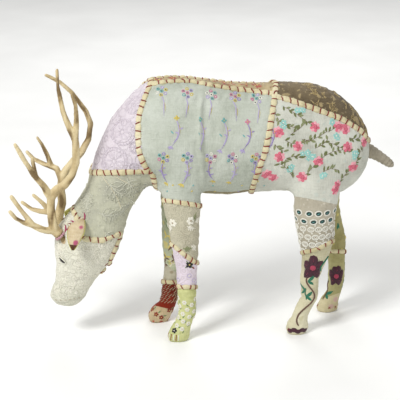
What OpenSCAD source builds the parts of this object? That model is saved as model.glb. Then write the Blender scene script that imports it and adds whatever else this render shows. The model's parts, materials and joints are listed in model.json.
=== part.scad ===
// Patchwork yard reindeer, grazing. A steel armature stands inside stiff
// moulded cores, and the cores are covered with fabric patches, whose joins
// are hidden under sewn bias binding. The antlers pull out of two ferrules.
// Head towards -X, left side towards -Y, soles on z = 0.

/* [Covering] */
// Thickness of the fabric patches with their glue
patch_t = 1.4; // [1:0.1:1.6]
// Thickness of the folded binding over the seams
binding_t = 2.0; // [1.6:0.1:2.4]
// Width of the folded binding over the seams
binding_w = 12; // [10:1:14]

/* [Armature] */
// Diameter of the steel rod in each leg
leg_rod_d = 6; // [5:1:6]
// Diameter of the bent steel rod in the neck
neck_rod_d = 8; // [6:1:8]
// Thickness of the flat steel bars
bar_t = 4; // [3:0.5:4]
// Width of the two crossbars
crossbar_w = 20; // [18:1:22]
// Height of the underside of the crossbars
crossbar_z = 410; // [408:1:412]

/* [Antlers] */
// Diameter of the pegs that the antlers stand on
peg_d = 8; // [7:0.5:8]
// Clearance round a peg in its ferrule
peg_gap = 0.05; // [0.02:0.01:0.08]
// Depth of a peg in its ferrule
peg_depth = 32; // [28:1:34]
// Lean of the pegs forward of upright, in degrees
antler_tilt = 41; // [40:1:43]
// Radius of an antler just above its burr
antler_r = 9; // [8:0.5:9.5]

/* [Eyes] */
// Radius of the glass eyes
eye_r = 6; // [5:0.5:6.5]

/* [Hidden] */

// Half of the overall length lies on each side of this x, which becomes 0
middle_x = 9;
// The cores lie this far inside the outer surface
core_inset = patch_t + 1.6;
leg_core_inset = patch_t + 0.5;
neck_core_inset = core_inset + 1.5;
binding_lift = 0.5;
fit = 0.1;
// The welds at the bends of the neck rod stand this far above it
weld = 0.4;
leg_rod_r = leg_rod_d / 2;
neck_rod_r = neck_rod_d / 2;
peg_r = peg_d / 2;
ferrule_r = peg_r + 2.5;
ferrule_flange_t = 1.2;
ferrule_flange_r = ferrule_r + 2.5;
peg_key_w = 1.6;
peg_key_h = 1.2;
antler_socket = 14;
burr_r = 10;
burr_z = ferrule_flange_t + 0.6;
core_sides = 24;
leg_sides = 24;

// Where the body sections along the spine change: [station] numbers
hip = 5;
shoulder = 9;
neck_top = 13.5;
throat_latch = 14.1;
muzzle_end = 20.6;
last_station = 21;

// Body sections from the tail to the nose. Each one is an ellipse that stands
// in a plane across the spine: [top x, top z, bottom x, bottom z, half width]
body_stations = [
    [336, 387, 337, 362, 12],
    [328, 425, 330, 334, 40],
    [303, 465, 309, 303, 60],
    [263, 498, 268, 281, 72],
    [206, 517, 212, 294, 77],
    [137, 518, 98, 298, 76],
    [62, 520, 56, 294, 78],
    [-20, 533, -20, 301, 80],
    [-70, 535, -55, 298, 78],
    [-104, 529, -82, 306, 72],
    [-141, 497, -98, 322, 62],
    [-173, 460, -110, 313, 56],
    [-205, 395, -129, 286, 51],
    [-225, 326, -144, 260, 47],
    [-255, 274, -154, 222, 46],
    [-283, 243, -160, 203, 47],
    [-293, 205, -172, 173, 45],
    [-291, 165, -200, 142, 37],
    [-294, 126, -218, 117, 31],
    [-304, 102, -232, 94, 29],
    [-303, 84, -246, 77, 24],
    [-284, 74, -264, 72, 10]
];

// Leg sections from the sole up: [z, middle x, middle y, half length, half width]
front_left_leg = [
    [0, -52, -47, 20, 15],
    [12, -51, -47, 23, 17],
    [26, -47, -47, 21, 16],
    [42, -39, -47, 16.5, 15],
    [57, -33, -47, 17.5, 16],
    [88, -32.5, -47, 17.5, 16.5],
    [121, -33.5, -47, 19.5, 18],
    [158, -34, -48, 21.5, 20],
    [187, -36, -48, 25, 23],
    [241, -38.5, -48, 30.5, 28],
    [290, -42, -47, 37, 31],
    [345, -44, -44, 39, 31],
    [395, -46, -40, 34, 27]
];
front_right_leg = [
    [0, -80, 49, 21, 15],
    [11, -79, 49, 24, 17],
    [26, -73, 49, 24, 16.5],
    [40, -61, 49, 18, 15],
    [56, -57.5, 49, 17, 16],
    [82, -55.5, 49, 16.5, 16],
    [123, -50, 49, 17.5, 17.5],
    [157, -47, 49, 23, 21],
    [198, -43.5, 49, 29, 26],
    [250, -38, 48, 34, 30],
    [300, -36, 47, 38, 31],
    [345, -38, 44, 38, 31],
    [395, -40, 40, 34, 27]
];
hind_left_leg = [
    [0, 194, -48, 20, 15],
    [15, 195, -48, 23.5, 17],
    [38, 200, -48, 15.5, 15],
    [62, 211, -48, 17, 16],
    [79, 219, -48, 16.5, 16],
    [100, 218.5, -48, 17.5, 16.5],
    [120, 217, -48, 19, 18],
    [144, 222.5, -48, 22.5, 20],
    [175, 230, -48, 29, 24],
    [203, 228.5, -48, 35.5, 28],
    [262, 224, -48, 42, 32],
    [300, 228, -46, 46, 33],
    [350, 232, -43, 50, 32],
    [395, 236, -40, 42, 28]
];
hind_right_leg = [
    [0, 280, 50, 21, 15],
    [8, 281, 50, 23, 17],
    [27, 287, 50, 19, 15.5],
    [44, 296, 50, 14.5, 14],
    [68, 298, 50, 17, 16],
    [98, 298, 50, 18, 17],
    [132, 297, 50, 18, 18],
    [165, 294, 50, 21, 20],
    [192, 286, 50, 23, 23],
    [240, 268, 49, 30, 28],
    [290, 256, 47, 42, 32],
    [345, 250, 43, 46, 32],
    [395, 246, 40, 40, 28]
];

// Foot and top of each leg rod, above the fetlock and above the crossbar
rod_top_z = crossbar_z + bar_t + 12;
front_left_rod = [[-38, -47, 34], [-42, -44, rod_top_z]];
front_right_rod = [[-60, 49, 44], [-38, 44, rod_top_z]];
hind_left_rod = [[210, -48, 54], [236, -42, rod_top_z]];
hind_right_rod = [[297, 50, 52], [246, 42, rod_top_z]];
leg_rod_lines = [front_left_rod, front_right_rod, hind_left_rod, hind_right_rod];
front_bar_x = -40;
hind_bar_x = 241;
crossbar_half = 56;
spine_z = crossbar_z + bar_t;
spine_w = 16;
// The spine bar reaches this far past the crossbars, and the neck rod is
// welded on top of its front end
spine_front = 44;
spine_behind = 14;
neck_rod_z = spine_z + bar_t + neck_rod_r + 0.1;
neck_rod_path = [
    [-52, 0, neck_rod_z],
    [-108, 0, neck_rod_z],
    [-158, 0, 352],
    [-190, 0, 290],
    [-212, 0, 225]
];
nut_r = 6;
nut_t = 4;
bolt_r = 3;

// Antler branches, each a row of points along the branch, then its radii at
// the two ends. The first branch of each antler starts on the burr.
left_branches = [
    [[[-288, -21, 236], [-295, -23, 256], [-297, -25, 284], [-296, -28, 311], [-286, -31, 328],
      [-268, -35, 340], [-254, -40, 361], [-246, -46, 388], [-246, -52, 432]], antler_r, 6.5],
    [[[-246, -52, 432], [-256, -54, 457], [-268, -54, 493], [-275, -48, 535], [-275, -40, 569]], 6.5, 2.8],
    [[[-246, -52, 432], [-243, -58, 470], [-244, -62, 504], [-250, -62, 526]], 6, 2.8],
    [[[-296, -28, 311], [-309, -36, 338], [-327, -44, 365], [-344, -52, 398], [-360, -58, 432]], 7, 2.8],
    [[[-323, -42, 358], [-326, -38, 379], [-329, -34, 396]], 5, 2.6],
    [[[-293, -21, 240], [-311, -28, 244], [-333, -36, 259], [-352, -42, 290], [-372, -44, 323]], 7, 2.8],
    [[[-333, -36, 259], [-350, -40, 267], [-366, -46, 280], [-376, -50, 295]], 5, 2.6]
];
right_branches = [
    [[[-286, 21, 238], [-280, 23, 260], [-273, 26, 282], [-275, 28, 303], [-273, 31, 326]], antler_r, 7.5],
    [[[-273, 31, 326], [-263, 36, 346], [-231, 50, 377], [-216, 56, 402], [-211, 58, 432],
      [-219, 58, 458], [-247, 52, 501], [-269, 48, 523], [-295, 44, 538]], 7.5, 2.8],
    [[[-273, 31, 326], [-281, 38, 349], [-306, 46, 357], [-325, 51, 367], [-338, 52, 382]], 6, 2.8],
    [[[-292, 42, 353], [-299, 40, 377], [-308, 38, 399], [-317, 36, 416]], 5, 2.6],
    [[[-282, 24, 256], [-298, 32, 259], [-318, 38, 261], [-334, 42, 265], [-353, 46, 279]], 6.5, 2.8],
    [[[-298, 32, 259], [-308, 33, 274], [-319, 34, 286], [-330, 34, 297]], 5, 2.6]
];

// Middle line of an ear and of the tail: [x, y, z, half width, half thickness]
ear_sections = [
    [-244, 40, 264, 9, 3],
    [-247, 50, 262, 14, 4],
    [-251, 61, 254, 16, 4.2],
    [-255, 70, 242, 14, 3.8],
    [-258, 76, 229, 8, 2.8],
    [-259, 78, 222, 2.5, 1.5]
];
tail_root_x = 337.1;
tail_sections = [
    [336, 0, 374, 15, 12],
    [350, 0, 367, 11, 10],
    [364, 0, 358, 9, 8.5],
    [380, 0, 347, 8, 7.5],
    [392, 0, 338, 6, 5.5],
    [395, 0, 335.5, 3, 3]
];

// ---- Curves and surfaces ----

function mix(a, b, t) = a + (b - a) * t;

// Smooth curve through a list of equal-length rows
function spline(rows, u) =
    let (n = len(rows), i = min(floor(u), n - 2), t = u - i,
         a = rows[max(0, i - 1)], b = rows[i], c = rows[i + 1], d = rows[min(n - 1, i + 2)])
    0.5 * (2 * b + (c - a) * t + (2 * a - 5 * b + 4 * c - d) * t * t + (3 * b - a - 3 * c + d) * t * t * t);

// Point of the outer surface at station u and angle v from the back, where a
// positive angle is on the left side, lifted by off
function skin(u, v, off = 0) =
    let (r = spline(body_stations, u), top = [r[0], 0, r[1]], bottom = [r[2], 0, r[3]],
         up = (top - bottom) / 2, h = norm(up))
    (top + bottom) / 2 + up * cos(v) * (h + off) / h - [0, (r[4] + off) * sin(v), 0];

function skin_normal(u, v) =
    let (n = cross(skin(u + 0.05, v) - skin(u - 0.05, v), skin(u, v + 1) - skin(u, v - 1)))
    n / norm(n);

// Faces of a tube of n rings with m points each, closed by two flat ends
function tube_faces(n, m) = concat(
    [for (i = [0:n - 2], j = [0:m - 1])
        let (a = i * m + j, b = i * m + (j + 1) % m) each [[a, b, b + m], [a, b + m, a + m]]],
    [[for (j = [m - 1:-1:0]) j]],
    [[for (j = [0:m - 1]) (n - 1) * m + j]]
);

// Body from station a to station b, lifted by off
module body_length(a, b, off, step = 0.5) {
    n = round((b - a) / step) + 1;
    rings = [for (i = [0:n - 1], j = [0:core_sides - 1])
        skin(mix(a, b, i / (n - 1)), j * 360 / core_sides, off)];
    polyhedron(points = rings, faces = tube_faces(n, core_sides), convexity = 4);
}

// The same body as short convex lengths that overlap a little, for cutting
// other parts
module body_cutter(a, b, off) {
    lap = 0.05;
    for (i = [0:2 * (b - a) - 1])
        hull() body_length(a + i / 2 - lap, a + (i + 1) / 2 + lap, off);
}

// Open tube with a wall, between a row of outer rings and a row of inner rings
module walled_tube(outer, inner) {
    n = len(outer);
    m = len(outer[0]);
    k = n * m;
    outside = [for (i = [0:n - 2], j = [0:m - 1])
        let (a = i * m + j, b = i * m + (j + 1) % m) each [[a, b, b + m], [a, b + m, a + m]]];
    inside = [for (f = outside) [f[0] + k, f[2] + k, f[1] + k]];
    low_rim = [for (j = [0:m - 1])
        let (a = j, b = (j + 1) % m) each [[a, k + b, b], [a, k + a, k + b]]];
    high_rim = [for (f = low_rim) [for (x = [f[0], f[2], f[1]]) x + (n - 1) * m]];
    points = [for (ring = concat(outer, inner)) each ring];
    polyhedron(points = points, faces = concat(outside, inside, low_rim, high_rim), convexity = 6);
}

// A patch is ruled between rows, and a row is a pair of [station, angle]
function row_at(rows, t) =
    let (k = t * (len(rows) - 1), i = min(floor(k), len(rows) - 2))
    mix(rows[i], rows[i + 1], k - i);

function patch_point(rows, s, t, off) =
    let (row = row_at(rows, t), p = mix(row[0], row[1], s))
    skin(p[0], p[1], off);

module patch(rows, across, along) {
    m = across + 1;
    n = along + 1;
    outer = [for (j = [0:along], i = [0:across]) patch_point(rows, i / across, j / along, 0)];
    inner = [for (j = [0:along], i = [0:across]) patch_point(rows, i / across, j / along, -patch_t)];
    k = m * n;
    grid = [for (j = [0:along - 1], i = [0:across - 1]) j * m + i];
    rim = concat(
        [for (i = [0:across - 1]) i],
        [for (j = [0:along - 1]) j * m + across],
        [for (i = [across:-1:1]) along * m + i],
        [for (j = [along:-1:1]) j * m]
    );
    faces = concat(
        [for (a = grid) each [[a, a + m, a + m + 1], [a, a + m + 1, a + 1]]],
        [for (a = grid) each [[k + a, k + a + m + 1, k + a + m], [k + a, k + a + 1, k + a + m + 1]]],
        [for (i = [0:len(rim) - 1])
            let (a = rim[i], b = rim[(i + 1) % len(rim)]) each [[a, b, k + b], [a, k + b, k + a]]]
    );
    polyhedron(points = concat(outer, inner), faces = faces, convexity = 6);
}

// Binding along a row of [station, angle] points, cut into steps
module binding(path, steps) {
    n = steps + 1;
    spots = [for (i = [0:steps]) let (k = i * (len(path) - 1) / steps) spline(path, k)];
    points = [for (i = [0:steps])
        let (here = skin(spots[i][0], spots[i][1]),
             ahead = spots[min(steps, i + 1)],
             behind = spots[max(0, i - 1)],
             way = skin(ahead[0], ahead[1]) - skin(behind[0], behind[1]),
             up = skin_normal(spots[i][0], spots[i][1]),
             side = cross(way, up) / norm(cross(way, up)) * binding_w / 2,
             low = up * binding_lift,
             high = up * (binding_lift + binding_t))
        each [here - side + low, here + side + low, here + side * 0.6 + high, here - side * 0.6 + high]];
    polyhedron(points = points, faces = tube_faces(n, 4), convexity = 6);
}

// Rings of a flattened tube through sections of
// [x, y, z, half width, half thickness], where wide is the direction of its width
function blade_rings(sections, wide, sides, grow = 0) =
    [for (i = [0:len(sections) - 1])
        let (s = sections[i], p = [s[0], s[1], s[2]],
             a = sections[max(0, i - 1)], b = sections[min(len(sections) - 1, i + 1)],
             way = [b[0] - a[0], b[1] - a[1], b[2] - a[2]],
             thick = cross(way, wide) / norm(cross(way, wide)),
             side = cross(thick, way) / norm(cross(thick, way)))
        [for (j = [0:sides - 1])
            p + side * (s[3] + grow) * cos(j * 360 / sides) - thick * (s[4] + grow) * sin(j * 360 / sides)]];

module solid_tube(rings) {
    points = [for (ring = rings) each ring];
    polyhedron(points = points, faces = tube_faces(len(rings), len(rings[0])), convexity = 4);
}

// Round bar from p to q
module bar(p, q, r) {
    d = q - p;
    translate(p)
        rotate([0, acos(d[2] / norm(d)), atan2(d[1], d[0])])
            cylinder(h = norm(d), r = r, $fn = 32);
}

module bent_bar(path, r) {
    for (i = [0:len(path) - 2]) bar(path[i], path[i + 1], r);
    for (i = [1:len(path) - 2]) translate(path[i]) sphere(r = r + weld, $fn = 32);
}

// ---- Legs ----

function column(sections, k) = [for (s = sections) [s[0], s[k]]];

// Ring of a leg at height z, grown by off
function leg_ring(sections, z, off) =
    let (x = lookup(z, column(sections, 1)), y = lookup(z, column(sections, 2)),
         a = lookup(z, column(sections, 3)) + off, b = lookup(z, column(sections, 4)) + off)
    [for (j = [0:leg_sides - 1])
        [x + a * cos(-j * 360 / leg_sides), y + b * sin(-j * 360 / leg_sides), z]];

function heights(sections, low, high) =
    concat([low], [for (s = sections) if (s[0] > low + 1 && s[0] < high - 1) s[0]], [high]);

function leg_rings(sections, low, high, off) =
    [for (z = heights(sections, low, high)) leg_ring(sections, z, off)];

leg_top = 395;

// Leg as short convex lengths
module leg_lengths(sections, low, high, off) {
    rings = leg_rings(sections, low, high, off);
    for (i = [0:len(rings) - 2]) hull() solid_tube([rings[i], rings[i + 1]]);
}

module leg_core(sections, rod) {
    difference() {
        leg_lengths(sections, 0, leg_top, -leg_core_inset);
        bar(rod[0], rod[1], leg_rod_r + fit);
    }
}

// Top part of a leg, for cutting other parts
module leg_cutter(sections, off) {
    leg_lengths(sections, 180, leg_top + fit, off);
}

module all_leg_cutters(off) {
    leg_cutter(front_left_leg, off);
    leg_cutter(front_right_leg, off);
    leg_cutter(hind_left_leg, off);
    leg_cutter(hind_right_leg, off);
}

module leg_tube(sections, low, high, inner, outer) {
    walled_tube(leg_rings(sections, low, high, outer), leg_rings(sections, low, high, inner));
}

module leg_sleeve(sections, low, high) {
    leg_tube(sections, low, high, -patch_t, 0);
}

// Sleeve that runs up to the body and is cut to its surface
module upper_sleeve(sections, low, body_from, body_to) {
    difference() {
        leg_sleeve(sections, low, 370);
        body_cutter(body_from, body_to, 0.3);
    }
}

module leg_band(sections, z) {
    leg_tube(sections, z - binding_w / 2, z + binding_w / 2, 0.2, 0.2 + binding_t);
}

// ---- Armature ----

module leg_rod_set(grow = 0) {
    for (line = leg_rod_lines) bar(line[0], line[1], leg_rod_r + grow);
}

function rod_at(line, z) = mix(line[0], line[1], (z - line[0][2]) / (line[1][2] - line[0][2]));

module flat_bar(size, grow = 0) {
    g = [grow, grow, grow];
    translate(-g) cube(size + 2 * g);
}

module crossbar_set(grow = 0) {
    for (x = [front_bar_x, hind_bar_x])
        translate([x - crossbar_w / 2, -crossbar_half, crossbar_z])
            flat_bar([crossbar_w, 2 * crossbar_half, bar_t], grow);
}

module spine_shape(grow = 0) {
    translate([front_bar_x - spine_front, -spine_w / 2, spine_z])
        flat_bar([hind_bar_x - front_bar_x + spine_front + spine_behind, spine_w, bar_t], grow);
}

module bolt_shafts(r) {
    for (x = [front_bar_x, hind_bar_x])
        translate([x, 0, crossbar_z - 8]) cylinder(h = 2 * bar_t + 12, r = r, $fn = 32);
}

module bolt_envelopes() {
    for (x = [front_bar_x, hind_bar_x])
        translate([x, 0, crossbar_z - 9]) cylinder(h = 2 * bar_t + 18, r = nut_r + 1, $fn = 24);
}

module nut_envelopes() {
    for (line = leg_rod_lines) {
        p = rod_at(line, crossbar_z);
        translate([p[0], p[1], crossbar_z - nut_t - 1])
            cylinder(h = 2 * nut_t + bar_t + 10, r = nut_r + 1.5, $fn = 24);
    }
}

module antler_seat(side) {
    translate(skin(15.3, -26 * side))
        rotate([0, -antler_tilt, 0])
            children();
}

module ferrule_outline(grow = 0) {
    translate([0, 0, -peg_depth - 2]) cylinder(h = peg_depth + 6, r = ferrule_r + grow, $fn = 48);
}

// Space that the flange and the antler's burr stand in
module burr_space() {
    translate([0, 0, -0.1]) cylinder(h = 24, r = burr_r + 1, $fn = 32);
}

module eye_ball(side, grow = 0) {
    translate(skin(16.55, -41 * side, -eye_r / 2)) sphere(r = eye_r + grow, $fn = 40);
}

// ---- Antlers ----

module branch(points, r_start, r_end) {
    last = len(points) - 1;
    for (i = [0:last - 1])
        hull() {
            translate(points[i]) sphere(r = mix(r_start, r_end, i / last), $fn = 8);
            translate(points[i + 1]) sphere(r = mix(r_start, r_end, (i + 1) / last), $fn = 8);
        }
}

module antler(branches, side) {
    color("burlywood")
        difference() {
            union() {
                for (b = branches) branch(b[0], b[1], b[2]);
                antler_seat(side)
                    hull() {
                        translate([0, 0, burr_z]) cylinder(h = 4, r = burr_r, $fn = 24);
                        translate([0, 0, antler_socket - 2]) cylinder(h = 2, r = antler_r, $fn = 24);
                    }
            }
            antler_seat(side) cylinder(h = antler_socket + fit, r = peg_r + fit, $fn = 48);
            antler_seat(side) translate([0, 0, burr_z - 20]) cylinder(h = 20, r = 30, $fn = 24);
        }
}

module peg(side) {
    color("peru")
        antler_seat(side) {
            translate([0, 0, -peg_depth]) cylinder(h = peg_depth + antler_socket, r = peg_r, $fn = 48);
            translate([-peg_key_w / 2, 0, -peg_depth])
                cube([peg_key_w, peg_r + peg_key_h, peg_depth]);
        }
}

module ferrule(side) {
    color("goldenrod")
        antler_seat(side)
            difference() {
                union() {
                    translate([0, 0, -peg_depth - 2]) cylinder(h = peg_depth + 2.2, r = ferrule_r, $fn = 48);
                    translate([0, 0, 0.2]) cylinder(h = ferrule_flange_t, r = ferrule_flange_r, $fn = 48);
                }
                translate([0, 0, -peg_depth - 3])
                    cylinder(h = peg_depth + 6, r = peg_r + peg_gap, $fn = 48);
                translate([-peg_key_w / 2 - peg_gap, 0, -peg_depth - 3])
                    cube([peg_key_w + 2 * peg_gap, peg_r + peg_key_h + 0.1, peg_depth + 6]);
            }
}

// ---- Seam lines, as rows of [station, angle] ----

function mirrored(path) = [for (p = path) [p[0], -p[1]]];

back_seam = [[hip, 26], [6, 15], [7, 10], [8, 8], [shoulder, 8.5]];
rump_seam = [[0.6, 42], [1.7, 41], [2.8, 39], [3.9, 34], [hip, 28]];
belly_angle = 150;

// Rows of a patch on the left side, or their mirror image in reverse order
function on_side(rows, s) =
    s > 0 ? rows : [for (i = [len(rows) - 1:-1:0]) mirrored(rows[i])];

// Rows of a patch from a seam on the left side down to angle v
function below_seam(seam, v) = [for (i = [len(seam) - 1:-1:0]) [seam[i], [seam[i][0], v]]];

// Rows of a patch from a seam on the right side over the back to the left side
function over_back(seam) = [for (i = [len(seam) - 1:-1:0]) [[seam[i][0], -seam[i][1]], seam[i]]];

// ---- Sub-parts ----

module torso_core() {
    color("tan")
        difference() {
            body_length(0, shoulder, -core_inset);
            all_leg_cutters(-leg_core_inset + fit);
            leg_rod_set(fit);
            crossbar_set(fit);
            spine_shape(fit);
            bolt_envelopes();
            nut_envelopes();
            bent_bar(neck_rod_path, neck_rod_r + fit);
        }
}

module neck_core() {
    color("tan")
        difference() {
            body_length(shoulder, neck_top, -neck_core_inset);
            bent_bar(neck_rod_path, neck_rod_r + fit);
        }
}

module head_core() {
    color("tan")
        difference() {
            body_length(neck_top, last_station, -core_inset);
            bar(neck_rod_path[3], neck_rod_path[4], neck_rod_r + fit);
            for (side = [-1, 1]) {
                eye_ball(side, fit);
                antler_seat(side) ferrule_outline(fit);
                antler_seat(side) burr_space();
            }
        }
}

// Everything in front of the flat end of the torso
module ahead_of_tail() {
    translate([tail_root_x - 40, -40, 320]) cube([40, 80, 100]);
}

module tail_core() {
    color("tan")
        difference() {
            solid_tube(blade_rings(tail_sections, [0, 1, 0], 16, -patch_t - 0.2));
            ahead_of_tail();
        }
}

module front_left_leg_core() {
    color("tan") leg_core(front_left_leg, front_left_rod);
}

module front_right_leg_core() {
    color("tan") leg_core(front_right_leg, front_right_rod);
}

module hind_left_leg_core() {
    color("tan") leg_core(hind_left_leg, hind_left_rod);
}

module hind_right_leg_core() {
    color("tan") leg_core(hind_right_leg, hind_right_rod);
}

module spine_bar() {
    color("slategray")
        difference() {
            spine_shape();
            bolt_shafts(bolt_r + 0.3);
        }
}

module crossbars() {
    color("slategray")
        difference() {
            crossbar_set();
            bolt_shafts(bolt_r + 0.3);
            for (line = leg_rod_lines) {
                p = rod_at(line, crossbar_z + bar_t / 2);
                translate([p[0], p[1], crossbar_z - 1])
                    cylinder(h = bar_t + 2, r = leg_rod_r + 0.9, $fn = 32);
            }
        }
}

module spine_bolts() {
    color("silver") {
        bolt_shafts(bolt_r);
        for (x = [front_bar_x, hind_bar_x]) {
            translate([x, 0, crossbar_z - 5]) cylinder(h = 5, r = nut_r, $fn = 6);
            translate([x, 0, crossbar_z + 2 * bar_t]) cylinder(h = 3.5, r = nut_r, $fn = 6);
        }
    }
}

module neck_rod() {
    color("slategray") bent_bar(neck_rod_path, neck_rod_r);
}

module leg_rods() {
    color("slategray") leg_rod_set();
}

module leg_rod_nuts() {
    color("silver")
        for (line = leg_rod_lines, z = [crossbar_z - nut_t, crossbar_z + bar_t]) {
            p = rod_at(line, z + nut_t / 2);
            translate([p[0], p[1], z])
                difference() {
                    cylinder(h = nut_t, r = nut_r, $fn = 6);
                    translate([0, 0, -1]) cylinder(h = nut_t + 2, r = leg_rod_r + 0.5, $fn = 32);
                }
        }
}

module left_ferrule() {
    ferrule(-1);
}

module right_ferrule() {
    ferrule(1);
}

module left_peg() {
    peg(-1);
}

module right_peg() {
    peg(1);
}

module left_antler() {
    antler(left_branches, -1);
}

module right_antler() {
    antler(right_branches, 1);
}

module left_eye() {
    color("black") eye_ball(-1);
}

module right_eye() {
    color("black") eye_ball(1);
}

module right_ear() {
    color("khaki") solid_tube(blade_rings(ear_sections, [1, 0, 0.25], 14));
}

module left_ear() {
    color("khaki") mirror([0, 1, 0]) solid_tube(blade_rings(ear_sections, [1, 0, 0.25], 14));
}

module tail_wrap() {
    color("dimgray")
        difference() {
            walled_tube(blade_rings(tail_sections, [0, 1, 0], 16),
                        blade_rings(tail_sections, [0, 1, 0], 16, -patch_t));
            ahead_of_tail();
        }
}

module saddle_patch() {
    color("ivory") patch(over_back(back_seam), 4, 8);
}

module flank_patch(s) {
    color("darkseagreen")
        difference() {
            patch(on_side(below_seam(back_seam, belly_angle), s), 10, 8);
            all_leg_cutters(0.3);
        }
}

module left_flank_patch() {
    flank_patch(1);
}

module right_flank_patch() {
    flank_patch(-1);
}

module belly_patch() {
    color("olive")
        difference() {
            patch([[[hip, belly_angle], [shoulder, belly_angle]],
                   [[hip, 360 - belly_angle], [shoulder, 360 - belly_angle]]], 8, 5);
            all_leg_cutters(0.3);
        }
}

module rump_patch() {
    color("sienna") patch(over_back(rump_seam), 8, 12);
}

module haunch_patch(s) {
    color("lightpink")
        difference() {
            patch(on_side(below_seam(rump_seam, 178), s), 10, 12);
            all_leg_cutters(0.3);
        }
}

module left_haunch_patch() {
    haunch_patch(1);
}

module right_haunch_patch() {
    haunch_patch(-1);
}

neck_rows_left = [
    [[shoulder, 0], [12.65, 0]],
    [[shoulder, 45], [11.65, 45]],
    [[shoulder, 90], [10.15, 90]],
    [[shoulder, 125], [9.45, 125]]
];
neck_rows = concat([for (i = [3:-1:1]) mirrored(neck_rows_left[i])], neck_rows_left);

module upper_neck_patch() {
    color("thistle") patch(neck_rows, 6, 12);
}

throat_rows_left = [
    [[12.7, 0], [throat_latch, 0]],
    [[11.7, 45], [throat_latch, 45]],
    [[10.2, 90], [throat_latch, 90]],
    [[9.5, 125], [throat_latch, 125]],
    [[shoulder, 150], [throat_latch, 150]],
    [[shoulder, 178], [throat_latch, 178]]
];
throat_rows = concat([for (i = [5:-1:1]) mirrored(throat_rows_left[i])], throat_rows_left);

module lower_neck_patch() {
    color("darkkhaki") patch(throat_rows, 8, 20);
}

module face_patch() {
    color("beige")
        difference() {
            patch([[[throat_latch, -178], [muzzle_end, -178]],
                   [[throat_latch, 178], [muzzle_end, 178]]], 11, 22);
            for (side = [-1, 1]) {
                eye_ball(side, 0.2);
                antler_seat(side) burr_space();
                antler_seat(side) ferrule_outline(0.3);
            }
        }
}

module front_left_upper_sleeve() {
    color("rosybrown") upper_sleeve(front_left_leg, 187, 6, 9);
}

module front_left_knee_sleeve() {
    color("plum") leg_sleeve(front_left_leg, 127, 186.6);
}

module front_left_lower_sleeve() {
    color("yellowgreen") leg_sleeve(front_left_leg, 4, 126.6);
}

module front_right_upper_sleeve() {
    color("darkseagreen") upper_sleeve(front_right_leg, 150, 6, 9);
}

module front_right_knee_sleeve() {
    color("gray") leg_sleeve(front_right_leg, 112, 149.6);
}

module front_right_lower_sleeve() {
    color("firebrick") leg_sleeve(front_right_leg, 4, 111.6);
}

module hind_left_thigh_sleeve() {
    color("lightsteelblue") upper_sleeve(hind_left_leg, 196, 1, 6);
}

module hind_left_lower_sleeve() {
    color("wheat") leg_sleeve(hind_left_leg, 4, 195.6);
}

module hind_right_thigh_sleeve() {
    color("palegoldenrod") upper_sleeve(hind_right_leg, 150, 1, 6);
}

module hind_right_lower_sleeve() {
    color("darkgray") leg_sleeve(hind_right_leg, 4, 149.6);
}

module shoulder_binding() {
    color("beige") binding([for (v = [-118:12:118]) [shoulder, v]], 24);
}

module hip_binding() {
    color("beige") binding([for (v = [-145:10:145]) [hip, v]], 28);
}

back_binding_path = [[5.3, 22], [6, 15], [7, 10], [8, 8], [8.7, 8.3]];
rump_binding_path = [[1, 42], [2, 41], [3, 38], [4, 33.5], [4.7, 29.5]];
neck_binding_path = [[12.65, 8], [11.8, 40], [10.7, 75], [9.95, 98]];

module left_back_binding() {
    color("beige") binding(back_binding_path, 12);
}

module right_back_binding() {
    color("beige") binding(mirrored(back_binding_path), 12);
}

module left_rump_binding() {
    color("beige") binding(rump_binding_path, 12);
}

module right_rump_binding() {
    color("beige") binding(mirrored(rump_binding_path), 12);
}

module left_neck_binding() {
    color("beige") binding(neck_binding_path, 12);
}

module right_neck_binding() {
    color("beige") binding(mirrored(neck_binding_path), 12);
}

module jaw_binding() {
    color("beige") binding([for (v = [66:11:294]) [throat_latch, v]], 22);
}

module leg_bindings() {
    color("beige") {
        leg_band(front_left_leg, 280);
        leg_band(front_left_leg, 195);
        leg_band(front_left_leg, 127);
        leg_band(front_right_leg, 150);
        leg_band(hind_left_leg, 196);
        leg_band(hind_right_leg, 150);
    }
}

module placed() {
    translate([-middle_x, 0, 0]) children();
}

// ---- Output ----

placed() torso_core();
placed() neck_core();
placed() head_core();
placed() tail_core();
placed() front_left_leg_core();
placed() front_right_leg_core();
placed() hind_left_leg_core();
placed() hind_right_leg_core();
placed() spine_bar();
placed() crossbars();
placed() spine_bolts();
placed() neck_rod();
placed() leg_rods();
placed() leg_rod_nuts();
placed() left_ferrule();
placed() right_ferrule();
placed() left_peg();
placed() right_peg();
placed() left_antler();
placed() right_antler();
placed() left_eye();
placed() right_eye();
placed() left_ear();
placed() right_ear();
placed() tail_wrap();
placed() saddle_patch();
placed() left_flank_patch();
placed() right_flank_patch();
placed() belly_patch();
placed() rump_patch();
placed() left_haunch_patch();
placed() right_haunch_patch();
placed() upper_neck_patch();
placed() lower_neck_patch();
placed() face_patch();
placed() front_left_upper_sleeve();
placed() front_left_knee_sleeve();
placed() front_left_lower_sleeve();
placed() front_right_upper_sleeve();
placed() front_right_knee_sleeve();
placed() front_right_lower_sleeve();
placed() hind_left_thigh_sleeve();
placed() hind_left_lower_sleeve();
placed() hind_right_thigh_sleeve();
placed() hind_right_lower_sleeve();
placed() shoulder_binding();
placed() hip_binding();
placed() left_back_binding();
placed() right_back_binding();
placed() left_rump_binding();
placed() right_rump_binding();
placed() left_neck_binding();
placed() right_neck_binding();
placed() jaw_binding();
placed() leg_bindings();
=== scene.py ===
"""Patchwork reindeer: the looks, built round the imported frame."""
import json
import random
from math import atan2, cos, pi, radians, sin

import bpy
import numpy as np
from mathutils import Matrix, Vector, noise
from mathutils.bvhtree import BVHTree


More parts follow.
